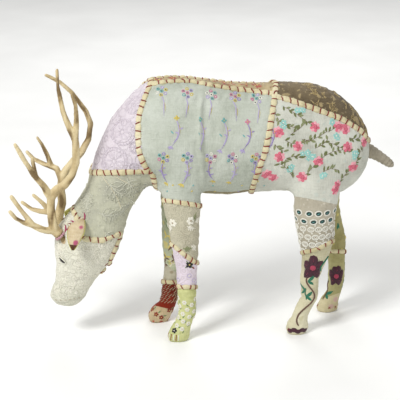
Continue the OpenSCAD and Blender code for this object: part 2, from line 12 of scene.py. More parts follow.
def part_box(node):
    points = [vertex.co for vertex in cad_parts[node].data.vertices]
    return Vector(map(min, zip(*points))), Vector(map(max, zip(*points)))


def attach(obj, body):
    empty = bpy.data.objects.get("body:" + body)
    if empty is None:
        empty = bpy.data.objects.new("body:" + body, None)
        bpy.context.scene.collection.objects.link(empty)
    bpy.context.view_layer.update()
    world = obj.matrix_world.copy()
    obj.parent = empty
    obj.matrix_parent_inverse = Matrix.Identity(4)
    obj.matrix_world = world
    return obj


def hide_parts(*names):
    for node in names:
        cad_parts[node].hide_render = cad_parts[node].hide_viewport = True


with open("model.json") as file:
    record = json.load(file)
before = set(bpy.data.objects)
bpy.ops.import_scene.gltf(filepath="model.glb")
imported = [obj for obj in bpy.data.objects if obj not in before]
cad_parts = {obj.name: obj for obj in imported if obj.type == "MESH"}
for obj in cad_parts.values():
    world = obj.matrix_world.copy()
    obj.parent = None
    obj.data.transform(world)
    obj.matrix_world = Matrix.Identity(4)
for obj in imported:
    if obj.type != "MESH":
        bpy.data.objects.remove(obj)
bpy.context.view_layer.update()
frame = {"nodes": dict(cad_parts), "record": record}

MM = 0.001
BODY = "figure"
CLOTH_T = 1.2 * MM
ANTLER_TILT = radians(41)
SIDES = {-1: "left", 1: "right"}
rng = random.Random(7)

# ---- Camera ----
# Seen a little from the head's side and from above, at 2.6 m. The chart below
# uses the same eye: chart (x, z) is where the line of sight to a point crosses
# the middle plane, in millimetres, with x counted from the body's own middle.
AZIMUTH, ELEVATION, DISTANCE = radians(-8), radians(20), 2.6
MIDDLE_X = 9
TARGET = Vector((-MIDDLE_X * MM, 0, 0.282))
BACK = Vector((sin(AZIMUTH) * cos(ELEVATION),
               -cos(AZIMUTH) * cos(ELEVATION),
               sin(ELEVATION)))
EYE = TARGET + BACK * DISTANCE


def add_camera():
    data = bpy.data.cameras.new("camera")
    data.sensor_width = 36
    data.lens = 36 * DISTANCE / 0.8
    cam = bpy.data.objects.new("camera", data)
    bpy.context.collection.objects.link(cam)
    cam.location = EYE
    cam.rotation_euler = (-BACK).to_track_quat("-Z", "Y").to_euler()
    bpy.context.scene.camera = cam


# ---- Mesh helpers ----

def new_object(name, verts, faces, smooth=True):
    mesh = bpy.data.meshes.new(name)
    mesh.from_pydata([tuple(v) for v in verts], [], [tuple(f) for f in faces])
    mesh.validate()
    if smooth:
        mesh.shade_smooth()
    obj = bpy.data.objects.new(name, mesh)
    bpy.context.collection.objects.link(obj)
    return obj


def arrays(mesh):
    verts = np.zeros(len(mesh.vertices) * 3, np.float32)
    mesh.vertices.foreach_get("co", verts)
    mesh.calc_loop_triangles()
    tris = np.zeros(len(mesh.loop_triangles) * 3, np.int32)
    mesh.loop_triangles.foreach_get("vertices", tris)
    return verts.reshape(-1, 3).astype(float), tris.reshape(-1, 3)


def quads(rows, wide, closed=False, around=True, flip=False):
    """Faces of a grid of points. closed joins the last row to the first, around the ends of each row."""
    faces = []
    for i in range(rows if closed else rows - 1):
        ahead = (i + 1) % rows
        for k in range(wide if around else wide - 1):
            beside = (k + 1) % wide
            face = (i * wide + k, i * wide + beside, ahead * wide + beside, ahead * wide + k)
            faces.append(face[::-1] if flip else face)
    return faces


def heading(row, i, closed=False):
    """From the point before to the point after, in a row of points."""
    n = len(row)
    ahead = row[(i + 1) % n] if closed else row[min(n - 1, i + 1)]
    behind = row[i - 1] if closed else row[max(0, i - 1)]
    return ahead - behind


def normals_of(verts, tris):
    cross = np.cross(verts[tris[:, 1]] - verts[tris[:, 0]], verts[tris[:, 2]] - verts[tris[:, 0]])
    out = np.zeros_like(verts)
    for k in range(3):
        for axis in range(3):
            out[:, axis] += np.bincount(tris[:, k], cross[:, axis], len(verts))
    return out / np.maximum(np.linalg.norm(out, axis=1), 1e-12)[:, None]


def edges_of(tris):
    pairs = np.sort(np.concatenate([tris[:, [0, 1]], tris[:, [1, 2]], tris[:, [2, 0]]]), axis=1)
    return np.unique(pairs, axis=0)


def neighbour_mean(values, edges, n):
    count = np.maximum(np.bincount(edges.ravel(), minlength=n), 1)
    flat = values.reshape(n, -1)
    out = np.empty_like(flat)
    for k in range(flat.shape[1]):
        out[:, k] = (np.bincount(edges[:, 0], flat[edges[:, 1], k], n)
                     + np.bincount(edges[:, 1], flat[edges[:, 0], k], n)) / count
    return out.reshape(values.shape)


def outer_shell(verts, tris):
    """Only the largest connected part of a mesh."""
    group = np.arange(len(verts))
    edges = edges_of(tris)
    while True:
        low = np.minimum(group[edges[:, 0]], group[edges[:, 1]])
        new = group.copy()
        np.minimum.at(new, edges[:, 0], low)
        np.minimum.at(new, edges[:, 1], low)
        new = new[new]
        if (new == group).all():
            break
        group = new
    best = np.bincount(group).argmax()
    tris = tris[group[tris[:, 0]] == best]
    used, tris = np.unique(tris, return_inverse=True)
    return verts[used], tris.reshape(-1, 3)


def remeshed(nodes, voxel):
    """The outer surface of some CAD nodes together, in even cells."""
    count, verts, faces = 0, [], []
    for name in nodes:
        v, t = arrays(frame["nodes"][name].data)
        verts.append(v)
        faces.append(t + count)
        count += len(v)
    obj = new_object("remesh_work", np.concatenate(verts), np.concatenate(faces), smooth=False)
    mod = obj.modifiers.new("remesh", "REMESH")
    mod.mode = "VOXEL"
    mod.voxel_size = voxel
    evaluated = obj.evaluated_get(bpy.context.evaluated_depsgraph_get())
    v, t = arrays(evaluated.to_mesh())
    evaluated.to_mesh_clear()
    bpy.data.objects.remove(obj)
    return outer_shell(v, t)


def smooth_step(a, b, x):
    t = np.clip((x - a) / (b - a), 0, 1)
    return t * t * (3 - 2 * t)


def fractal(points, size, octaves=3, seed=0.0):
    """Soft noise at each point, between about -1 and 1."""
    shift = Vector((seed * 17.3, seed * 5.1, seed * 9.7))
    return np.array([noise.fractal(Vector(p) / size + shift, 1.0, 2.0, octaves) for p in points])


# ---- Chart: where the line of sight to a point crosses the middle plane ----

def chart_of(points, mirrored=True):
    """Chart (x, z) of each point, in millimetres. Points on the right side use the mirrored eye."""
    p = np.array(points, float)
    if mirrored:
        p[:, 1] = -np.abs(p[:, 1])
    eye = np.array(EYE)
    t = -eye[1] / (p[:, 1] - eye[1])
    return np.stack([(eye[0] + t * (p[:, 0] - eye[0])) / MM + MIDDLE_X,
                     (eye[2] + t * (p[:, 2] - eye[2])) / MM], axis=1)


def sight(x, z, side=-1):
    """(origin, direction) of the line of sight through a chart point."""
    eye = Vector((EYE.x, -EYE.y * side, EYE.z)) if side > 0 else EYE.copy()
    through = Vector(((x - MIDDLE_X) * MM, 0, z * MM))
    return eye, (through - eye).normalized()


def on_line(points, value):
    """Second coordinate of a line through points, at the first coordinate value."""
    points = sorted(points)
    return np.interp(value, [p[0] for p in points], [p[1] for p in points])


# Seams on the body, as chart points. The upright ones are (z, x), the others (x, z).
SHOULDER = [(295, -84), (339, -94), (356, -109), (388, -121), (425, -122), (461, -120), (496, -109),
            (527, -95)]
HIP = [(280, 100), (295, 104), (319, 111), (377, 131), (429, 140), (481, 147), (520, 150)]
BACK_SEAM = [(-100, 524), (-60, 528), (-22, 528), (58, 510), (150, 496)]
RUMP_SEAM = [(149, 491), (185, 480), (237, 459), (285, 439), (327, 411), (340, 392)]
NECK_SEAM = [(-230, 351), (-170, 348), (-100, 347)]
HEAD_SEAM = [(-330, 300), (-262, 290), (-248, 262), (-238, 212), (-198, 205), (-157, 221), (-120, 230)]
JAW_SEAM = [(140, -200), (150, -187), (190, -171), (222, -158), (260, -150)]
FRONT_LEFT_BANDS = [[(-90, 289), (-38, 278), (15, 266)], [(-75, 208), (-41, 174), (-10, 147)],
                    [(-60, 98), (0, 92)]]
FRONT_RIGHT_BANDS = [[(-95, 168), (-40, 120)], [(-110, 112), (-30, 104)], [(-110, 62), (-50, 42)]]
HIND_LEFT_BANDS = [[(180, 283), (225, 273), (285, 257)], [(200, 154), (243, 162), (290, 187)]]
HIND_RIGHT_BANDS = [[(240, 160), (320, 152)], [(240, 44), (310, 66)]]

(SADDLE, FLANK_L, FLANK_R, BELLY, RUMP, HAUNCH_L, HAUNCH_R, UPPER_NECK, LOWER_NECK, FACE,
 FL_UPPER, FL_KNEE, FL_LOWER, FR_UPPER, FR_KNEE, FR_LOWER, FR_HOOF,
 HL_THIGH, HL_LOWER, HR_THIGH, HR_LOWER, HR_HOOF) = range(22)


def labels_of(points):
    """Which patch of cloth covers each point."""
    near = points[:, 1] <= 0
    z = points[:, 2] / MM
    x = points[:, 0] / MM + MIDDLE_X
    body = chart_of(points)
    plain = chart_of(points, mirrored=False)
    cx, cz = body[:, 0], body[:, 1]
    out = np.where(near, FLANK_L, FLANK_R)
    out = np.where((z < 318) & (np.abs(points[:, 1]) < 40 * MM), BELLY, out)
    out = np.where(cz > on_line(BACK_SEAM, cx), SADDLE, out)
    behind = cx > on_line(HIP, cz)
    out = np.where(behind, np.where(cz > on_line(RUMP_SEAM, cx), RUMP, np.where(near, HAUNCH_L, HAUNCH_R)),
                   out)
    ahead = cx < on_line(SHOULDER, cz)
    lower = (cz < on_line(NECK_SEAM, cx)) | (cz < 330)
    out = np.where(ahead, np.where(lower, LOWER_NECK, UPPER_NECK), out)
    face = (cz < on_line(HEAD_SEAM, cx)) & (cx < on_line(JAW_SEAM, cz)) & (x < -140)
    out = np.where(face, FACE, out)

    def leg(zone, bands, names):
        nonlocal out
        level = np.full(len(points), names[0])
        for band, name in zip(bands, names[1:]):
            level = np.where(plain[:, 1] < on_line(band, plain[:, 0]), name, level)
        out = np.where(zone, level, out)

    front, hind = (x > -128) & (x < 30), (x > 165) & (x < 345)
    leg(front & near & (z < 335) & (plain[:, 1] < on_line(FRONT_LEFT_BANDS[0], plain[:, 0])),
        FRONT_LEFT_BANDS[1:], [FL_UPPER, FL_KNEE, FL_LOWER])
    leg(front & ~near & (z < 300), FRONT_RIGHT_BANDS, [FR_UPPER, FR_KNEE, FR_LOWER, FR_HOOF])
    leg(hind & near & (z < 335) & (plain[:, 1] < on_line(HIND_LEFT_BANDS[0], plain[:, 0])),
        HIND_LEFT_BANDS[1:], [HL_THIGH, HL_LOWER])
    leg(hind & ~near & (z < 292), HIND_RIGHT_BANDS, [HR_THIGH, HR_LOWER, HR_HOOF])
    return out


# ---- Skin: the outer surface of the body, smoothed from the cores ----

LEG_CORES = ["front_left_leg_core", "front_right_leg_core", "hind_left_leg_core", "hind_right_leg_core"]
BODY_CORES = ["torso_core", "neck_core", "head_core"]
VOXEL = 2.5 * MM
SMOOTHING_STEPS = 80
BODY_INSET, LEG_INSET = 3.0 * MM, 1.9 * MM


def bvh(verts, tris):
    return BVHTree.FromPolygons([tuple(v) for v in verts], [tuple(int(i) for i in t) for t in tris])


def distance_to(tree, points, reach):
    out = np.full(len(points), reach)
    for i, p in enumerate(points):
        hit = tree.find_nearest(Vector(p), reach)
        if hit[0] is not None:
            out[i] = hit[3]
    return out


def build_skin():
    verts, tris = remeshed(BODY_CORES + LEG_CORES, VOXEL)
    edges = edges_of(tris)
    n = len(verts)
    z = verts[:, 2]
    x = verts[:, 0]
    torso = bvh(*arrays(frame["nodes"]["torso_core"].data))
    legs = [bvh(*arrays(frame["nodes"][name].data)) for name in LEG_CORES]
    near_torso = distance_to(torso, verts, 40 * MM)
    near_leg = np.min([distance_to(leg, verts, 40 * MM) for leg in legs], axis=0)
    on_leg = smooth_step(2 * MM, 6 * MM, near_torso) * (near_leg < 6 * MM)
    junction = 1 - smooth_step(6 * MM, 30 * MM, np.maximum(near_torso, near_leg))
    head = 1 - smooth_step(-0.26, -0.20, x)
    strength = np.clip(1 - 0.65 * head - 0.93 * on_leg, 0.07, 1)
    strength = np.maximum(strength, junction)[:, None]
    start = verts.copy()
    for _ in range(SMOOTHING_STEPS):
        verts = verts + strength * (neighbour_mean(verts, edges, n) - verts)
    # Give back what the smoothing took away, without its facets
    up = normals_of(verts, tris)
    lost = ((start - verts) * up).sum(axis=1) * (1 - junction)
    for _ in range(40):
        lost = neighbour_mean(lost, edges, n)
    inset = BODY_INSET + (LEG_INSET - BODY_INSET) * on_leg
    for _ in range(10):
        inset = neighbour_mean(inset, edges, n)
    verts = verts + (lost + inset)[:, None] * up
    verts[:, 2] = np.maximum(verts[:, 2], 0.2 * MM)
    return verts, tris


skin_verts, skin_tris = build_skin()


# ---- Cutting the skin along the seams ----

def cut_by_label(verts, tris, label_of):
    """Splits triangles so that each one lies in one patch, with smooth edges between patches."""
    label = label_of(verts)
    edges = edges_of(tris)
    mixed = edges[label[edges[:, 0]] != label[edges[:, 1]]]
    a, b = verts[mixed[:, 0]].copy(), verts[mixed[:, 1]].copy()
    first = label[mixed[:, 0]]
    for _ in range(10):
        middle = (a + b) / 2
        same = (label_of(middle) == first)[:, None]
        a, b = np.where(same, middle, a), np.where(same, b, middle)
    new_at = {tuple(e): len(verts) + i for i, e in enumerate(mixed.tolist())}
    points = list(verts) + list((a + b) / 2)
    out, names = [], []
    kinds = label[tris]
    whole = (kinds[:, 0] == kinds[:, 1]) & (kinds[:, 1] == kinds[:, 2])
    out.extend(tris[whole].tolist())
    names.extend(kinds[whole][:, 0].tolist())
    for tri, kind in zip(tris[~whole].tolist(), kinds[~whole].tolist()):
        cut = [new_at.get((min(tri[k], tri[(k + 1) % 3]), max(tri[k], tri[(k + 1) % 3]))) for k in range(3)]
        if None in cut:
            k = cut.index(None)
            i, j, apex = tri[k], tri[(k + 1) % 3], tri[(k + 2) % 3]
            p, q = cut[(k + 1) % 3], cut[(k + 2) % 3]
            out += [[i, j, p], [i, p, q], [q, p, apex]]
            names += [kind[k], kind[k], kind[(k + 2) % 3]]
        else:
            centre = len(points)
            points.append((verts[tri[0]] + verts[tri[1]] + verts[tri[2]]) / 3)
            for k in range(3):
                before = cut[(k + 2) % 3]
                out += [[tri[k], cut[k], centre], [tri[k], centre, before]]
                names += [kind[k], kind[k]]
    return np.array(points), np.array(out), np.array(names)


def part_of(verts, tris):
    used, small = np.unique(tris, return_inverse=True)
    return verts[used], small.reshape(-1, 3)


def directed_edges(tris):
    return np.concatenate([tris[:, [0, 1]], tris[:, [1, 2]], tris[:, [2, 0]]]).tolist()


def chains_between(first, second):
    """The joins between two groups of patches, each as a row of points in order."""
    shortest = 30 * MM
    mine = {tuple(e) for e in directed_edges(cut_tris[np.isin(cut_names, first)])}
    theirs = {(b, a) for a, b in directed_edges(cut_tris[np.isin(cut_names, second)])}
    ahead = {}
    for a, b in mine & theirs:
        ahead.setdefault(a, []).append(b)
    starts = set(ahead) - {b for row in ahead.values() for b in row}
    chains = []
    while ahead:
        here = min(starts) if starts else min(ahead)
        starts.discard(here)
        chain = [here]
        while here in ahead:
            here = ahead[here].pop()
            if not ahead[chain[-1]]:
                del ahead[chain[-1]]
            chain.append(here)
        points = cut_verts[chain]
        if np.linalg.norm(np.diff(points, axis=0), axis=1).sum() > shortest:
            chains.append(points)
    return chains


def resampled(points, step, closed=False):
    if closed:
        points = np.concatenate([points, points[:1]])
    along = np.concatenate([[0], np.cumsum(np.linalg.norm(np.diff(points, axis=0), axis=1))])
    count = max(3, int(round(along[-1] / step)) + 1)
    at = np.linspace(0, along[-1], count)
    out = np.stack([np.interp(at, along, points[:, k]) for k in range(3)], axis=1)
    return out[:-1] if closed else out


def eased(points, steps, closed=False):
    """The row of points with its small zigzags smoothed out."""
    points = points.copy()
    for _ in range(steps):
        if closed:
            points = points + 0.5 * ((np.roll(points, 1, 0) + np.roll(points, -1, 0)) / 2 - points)
        else:
            points[1:-1] += 0.5 * ((points[:-2] + points[2:]) / 2 - points[1:-1])
    return points


# ---- Materials ----

def srgb(hex_colour):
    value = int(hex_colour.lstrip("#"), 16)
    parts = [(value >> 16 & 255) / 255, (value >> 8 & 255) / 255, (value & 255) / 255]
    return [c / 12.92 if c <= 0.04045 else ((c + 0.055) / 1.055) ** 2.4 for c in parts] + [1]


class Nodes:
    """Short helper round a material's node tree."""

    def __init__(self, name, roughness=0.9, metallic=0.0, sheen=0.0, specular=0.25):
        self.material = bpy.data.materials.new(name)
        self.material.use_nodes = True
        self.tree = self.material.node_tree
        self.shader = self.tree.nodes["Principled BSDF"]
        self.shader.inputs["Roughness"].default_value = roughness
        self.shader.inputs["Metallic"].default_value = metallic
        self.shader.inputs["Sheen Weight"].default_value = sheen
        self.shader.inputs["Sheen Roughness"].default_value = 0.5
        self.shader.inputs["Specular IOR Level"].default_value = specular
        self.coords = self.tree.nodes.new("ShaderNodeTexCoord").outputs["Object"]

    def add(self, kind, **inputs):
        node = self.tree.nodes.new("ShaderNode" + kind)
        for key, value in inputs.items():
            self.put(node, key.replace("_", " "), value)
        return node

    def put(self, node, key, value):
        slot = node.inputs[key]
        if isinstance(value, bpy.types.NodeSocket):
            self.tree.links.new(value, slot)
        else:
            slot.default_value = value

    def noise(self, scale, detail=3.0, roughness=0.55, coords=None):
        node = self.add("TexNoise", Scale=scale, Detail=detail, Roughness=roughness)
        self.put(node, "Vector", coords or self.coords)
        return node.outputs["Fac"]

    def wave(self, scale, direction, distortion=0.6, detail_scale=2.0):
        node = self.add("TexWave", Scale=scale, Distortion=distortion, Detail=1.0, Detail_Scale=detail_scale)
        node.bands_direction = direction
        self.put(node, "Vector", self.coords)
        return node.outputs["Fac"]

    def streaks(self, scale, stretch):
        """Noise drawn out along the axes where stretch is small."""
        mapping = self.add("Mapping", Scale=stretch)
        self.put(mapping, "Vector", self.coords)
        return self.noise(scale, 2.0, coords=mapping.outputs["Vector"])

    def cells(self, scale, feature="F1", coords=None):
        node = self.add("TexVoronoi", Scale=scale)
        node.feature = feature
        self.put(node, "Vector", coords or self.coords)
        return node.outputs["Distance"]

    def maths(self, operation, a, b=0.5, clamp=False):
        node = self.tree.nodes.new("ShaderNodeMath")
        node.operation = operation
        node.use_clamp = clamp
        for slot, value in zip(node.inputs, (a, b)):
            if isinstance(value, bpy.types.NodeSocket):
                self.tree.links.new(value, slot)
            else:
                slot.default_value = value
        return node.outputs[0]

    def ramp(self, factor, stops):
        """stops are (position, colour) pairs."""
        node = self.tree.nodes.new("ShaderNodeValToRGB")
        self.tree.links.new(factor, node.inputs["Fac"])
        band = node.color_ramp
        while len(band.elements) < len(stops):
            band.elements.new(0.5)
        for element, (position, colour) in zip(band.elements, stops):
            element.position = position
            element.color = srgb(colour) if isinstance(colour, str) else colour
        return node.outputs["Color"]

    def mix(self, factor, a, b):
        node = self.tree.nodes.new("ShaderNodeMix")
        node.data_type = "RGBA"
        for key, value in ((0, factor), (6, a), (7, b)):
            if isinstance(value, str):
                value = srgb(value)
            if isinstance(value, bpy.types.NodeSocket):
                self.tree.links.new(value, node.inputs[key])
            else:
                node.inputs[key].default_value = value
        return node.outputs[2]

    def finish(self, colour, height=None, depth=0.3 * MM, roughness=None):
        self.put(self.shader, "Base Color", srgb(colour) if isinstance(colour, str) else colour)
        if height is not None:
            bump = self.add("Bump", Strength=1.0, Distance=depth, Height=height)
            self.put(self.shader, "Normal", bump.outputs["Normal"])
        if roughness is not None:
            self.put(self.shader, "Roughness", roughness)
        return self.material


def thread(name, base, dark):
    """Twisted sewing or embroidery thread."""
    n = Nodes(name, roughness=0.75, sheen=0.2, specular=0.3)
    twist = n.wave(900, "DIAGONAL", 1.0)
    colour = n.mix(n.maths("MULTIPLY", n.noise(300, 2.0), 0.7), base, dark)
    return n.finish(colour, twist, 0.15 * MM)


def figure_mask(n, kind, scale, size):
    """Where the figures of a brocade or a print lie: 1 on a figure and 0 between."""
    soft = 0.1
    if kind == "rings":
        ring = n.maths("PINGPONG", n.cells(scale), size / 2)
        return n.maths("MULTIPLY", ring, 4 / size, clamp=True)
    if kind == "leaves":
        bent = n.add("TexNoise", Scale=scale * 0.5, Detail=1.0)
        n.put(bent, "Vector", n.coords)
        warp = n.tree.nodes.new("ShaderNodeVectorMath")
        warp.operation = "MULTIPLY_ADD"
        n.tree.links.new(bent.outputs["Color"], warp.inputs[0])
        warp.inputs[1].default_value = [0.9 / scale] * 3
        n.tree.links.new(n.coords, warp.inputs[2])
        edge = n.cells(scale, "DISTANCE_TO_EDGE", coords=warp.outputs[0])
        return n.maths("MULTIPLY", n.maths("SUBTRACT", edge, 0.5 - size), 1 / soft, clamp=True)
    return n.maths("MULTIPLY", n.maths("SUBTRACT", size, n.cells(scale)), 1 / soft, clamp=True)


def cloth(name, base, light, dark, threads=420.0, figures=()):
    """Woven cloth. figures are (kind, scale, size, colour, strength of colour, height)."""
    n = Nodes(name, roughness=0.92, sheen=0.1, specular=0.12)
    weave = n.maths("ADD", n.streaks(threads, (1, 1, 0.06)), n.streaks(threads, (0.06, 0.06, 1)))
    weave = n.maths("MULTIPLY", n.maths("SUBTRACT", weave, 0.7), 1.6, clamp=True)
    fine = n.noise(260, 2.0)
    colour = n.ramp(n.noise(13, 5.0), [(0.32, dark), (0.5, base), (0.7, light)])
    colour = n.mix(n.maths("MULTIPLY", fine, 0.3), colour, dark)
    colour = n.mix(n.maths("MULTIPLY", weave, 0.4), colour, light)
    soil = n.maths("MULTIPLY", n.maths("SUBTRACT", n.noise(95, 5.0, 0.7), 0.52), 3.0, clamp=True)
    colour = n.mix(n.maths("MULTIPLY", soil, 0.45), colour, dark)
    height = n.maths("ADD", n.maths("MULTIPLY", weave, 0.8),
                     n.maths("MULTIPLY", n.noise(120, 5.0, 0.65), 1.3))
    for kind, scale, size, tint, strength, lift in figures:
        figure = figure_mask(n, kind, scale, size)
        colour = n.mix(n.maths("MULTIPLY", figure, strength), colour, tint)
        height = n.maths("ADD", height, n.maths("MULTIPLY", figure, lift))
    return n.finish(colour, height, 0.8 * MM)


CLOTHS = {
    "saddle": cloth("saddle_print", "#AD9C78", "#C6B794", "#7F6C48", figures=[
        ("spots", 34, 0.30, "#A2382F", 0.85, 0.0), ("leaves", 55, 0.25, "#7B5A46", 0.6, 0.0),
        ("spots", 90, 0.22, "#D8B45C", 0.6, 0.0)]),
    "linen": cloth("linen", "#B3B8AB", "#C5C9BF", "#949A8B", threads=520),
    "belly": cloth("belly_print", "#8A8263", "#A39B7A", "#6B5F45", figures=[
        ("leaves", 42, 0.28, "#5E4A34", 0.7, 0.0), ("spots", 70, 0.25, "#C9B98A", 0.6, 0.0)]),
    "rump": cloth("rump_brocade", "#665943", "#7E7058", "#42382A", figures=[
        ("leaves", 60, 0.30, "#A8966F", 0.75, 0.9), ("spots", 110, 0.25, "#BBAA80", 0.5, 0.5)]),
    "haunch": cloth("rose_ground", "#C4C5B9", "#D3D4CA", "#A5A599", threads=560, figures=[
        ("leaves", 75, 0.22, "#B4BDB4", 0.5, 0.0)]),
    "upper_neck": cloth("lilac_emboss", "#C5BBC2", "#D5CDD2", "#AA9FA8", figures=[
        ("rings", 42, 0.30, "#D8D0D5", 0.5, 1.2), ("spots", 130, 0.22, "#B6AAB4", 0.4, 0.5)]),
    "lower_neck": cloth("neck_brocade", "#B6B69F", "#C6C5B3", "#98988A", figures=[
        ("spots", 60, 0.3, "#CBCAB6", 0.25, 0.8), ("spots", 120, 0.25, "#A4A492", 0.4, 0.4)]),
    "face": cloth("lace_ground", "#CFCDBB", "#E0DECE", "#AEAE98", threads=360, figures=[
        ("rings", 85, 0.3, "#E6E3D5", 0.4, 1.0), ("spots", 190, 0.26, "#DAD7C6", 0.5, 0.6)]),
    "fl_upper": cloth("greige", "#AEAA92", "#C4BFA8", "#878069", figures=[
        ("rings", 75, 0.26, "#CFC8B4", 0.4, 0.7)]),
    "fl_knee": cloth("lilac_band", "#C8BABF", "#D6CACE", "#AA9CA0", figures=[
        ("rings", 60, 0.28, "#DDD2DF", 0.6, 0.7)]),
    "fl_lower": cloth("chartreuse", "#C2C488", "#D3D5A3", "#A2A566", figures=[
        ("leaves", 64, 0.24, "#AEB274", 0.5, 0.3)]),
    "fr_upper": cloth("grey_green", "#A9AD92", "#BCC0A6", "#8B8F74", figures=[
        ("leaves", 46, 0.28, "#C9B96A", 0.7, 0.2), ("spots", 60, 0.26, "#7E8A6B", 0.6, 0.0)]),
    "fr_knee": cloth("greige_far", "#ADA793", "#BFB9A6", "#8F8976", figures=[
        ("spots", 55, 0.28, "#8E7D63", 0.6, 0.0)]),
    "fr_lower": cloth("dark_red", "#7C2413", "#94351F", "#54170C"),
    "fr_hoof": cloth("red_floral", "#B9A583", "#CDBD9E", "#8F7A57", figures=[
        ("spots", 65, 0.32, "#9C3A30", 0.85, 0.0), ("leaves", 70, 0.22, "#6F7F55", 0.5, 0.0)]),
    "hl_thigh": cloth("thigh_taupe", "#A9A290", "#BDB6A5", "#8C8573", figures=[
        ("spots", 90, 0.26, "#C9C3B3", 0.6, 0.6)]),
    "hl_lower": cloth("stocking_cream", "#C9C3A4", "#D8D3B8", "#A8A182", figures=[
        ("leaves", 60, 0.22, "#B3AC86", 0.5, 0.0)]),
    "hr_thigh": cloth("olive_cream", "#938C5C", "#ACA676", "#68623A", figures=[
        ("leaves", 50, 0.26, "#8D8A5E", 0.6, 0.0), ("spots", 60, 0.24, "#D3C56F", 0.6, 0.0)]),
    "hr_lower": cloth("olive_cream_low", "#9A9464", "#B3AD80", "#6E6840", figures=[
        ("leaves", 55, 0.24, "#9A9560", 0.5, 0.0)]),
    "hr_hoof": cloth("hoof_cream", "#BFB48E", "#D0C7A6", "#968A64", figures=[
        ("spots", 48, 0.34, "#C4989C", 0.6, 0.0)]),
    "binding": cloth("binding_tape", "#D2C8A2", "#E2DABB", "#A69B70", threads=700),
    "tail": cloth("tail_cloth", "#A09886", "#B9B19F", "#6F6757", threads=460),
    "ear": cloth("ear_cloth", "#C9B896", "#DACDB2", "#9F8762", figures=[
        ("spots", 48, 0.40, "#A8356A", 0.85, 0.0)]),
    "ear_lining": cloth("ear_lining", "#B9B55C", "#CDCA78", "#8E8A3C", threads=600),
    "ear_tip": cloth("ear_tip", "#54382A", "#6B4938", "#3A251B"),
    "magenta": cloth("magenta_scrap", "#B9899A", "#D8CDBB", "#8E4F68", figures=[
        ("spots", 90, 0.35, "#D9CFB8", 0.85, 0.0)]),
}

THREADS = {name: thread(name + "_thread", base, dark) for name, base, dark in (
    ("red", "#8E2A1C", "#5E1710"), ("white", "#E9E7DD", "#C4C2B4"), ("cream", "#DDD6BD", "#B9B193"),
    ("purple", "#A596C6", "#7A69A2"), ("teal", "#79B5B4", "#4A8886"), ("pink", "#D58BA6", "#A45A78"),
    ("yellow", "#D9C66A", "#A8953E"), ("lavender", "#BDB2D4", "#9586B6"), ("green", "#6F8A5A", "#4B6139"),
    ("rose", "#E07A8C", "#B8495F"), ("rose_dark", "#B5425B", "#84283F"), ("rose_pale", "#EFB0B8", "#D2818F"),
    ("aqua", "#A3D3CB", "#74AFA6"), ("olive", "#767D4D", "#525834"), ("brown", "#6E5142", "#4A3328"),
    ("olive_pale", "#8F956C", "#6A7049"), ("magenta", "#B23A66", "#7D2244"),
    ("plum", "#4B1F30", "#2C101B"), ("bottle", "#2F7A5C", "#1C513B"), ("black", "#262321", "#121010"),
    ("hole", "#23463F", "#142B27"), ("sand", "#A9977A", "#85745A"), ("gold", "#B7A170", "#8A7748"),
    ("gold_dark", "#6B5B3D", "#4D4029"), ("saddle_red", "#A8382C", "#7C241B"),
    # The lilac relief thread is lighter than the embossed lilac cloth it stands out from: a painted highlight on a
    # relief that is the cloth's own colour.
    ("lilac_relief_painted_highlight", "#D8CFD6", "#B3A8B2"),
    # The sage relief thread is lighter than the neck brocade it is raised from: a painted highlight on a relief that
    # is the cloth's own colour.
    ("sage_relief_painted_highlight", "#D2D2C2", "#ACAB98"), ("lace_thread", "#EFECE0", "#D2CDBA"))}


# ---- Skin detail ----

def bell(x, middle, width):
    return np.exp(-((x - middle) / width) ** 2)


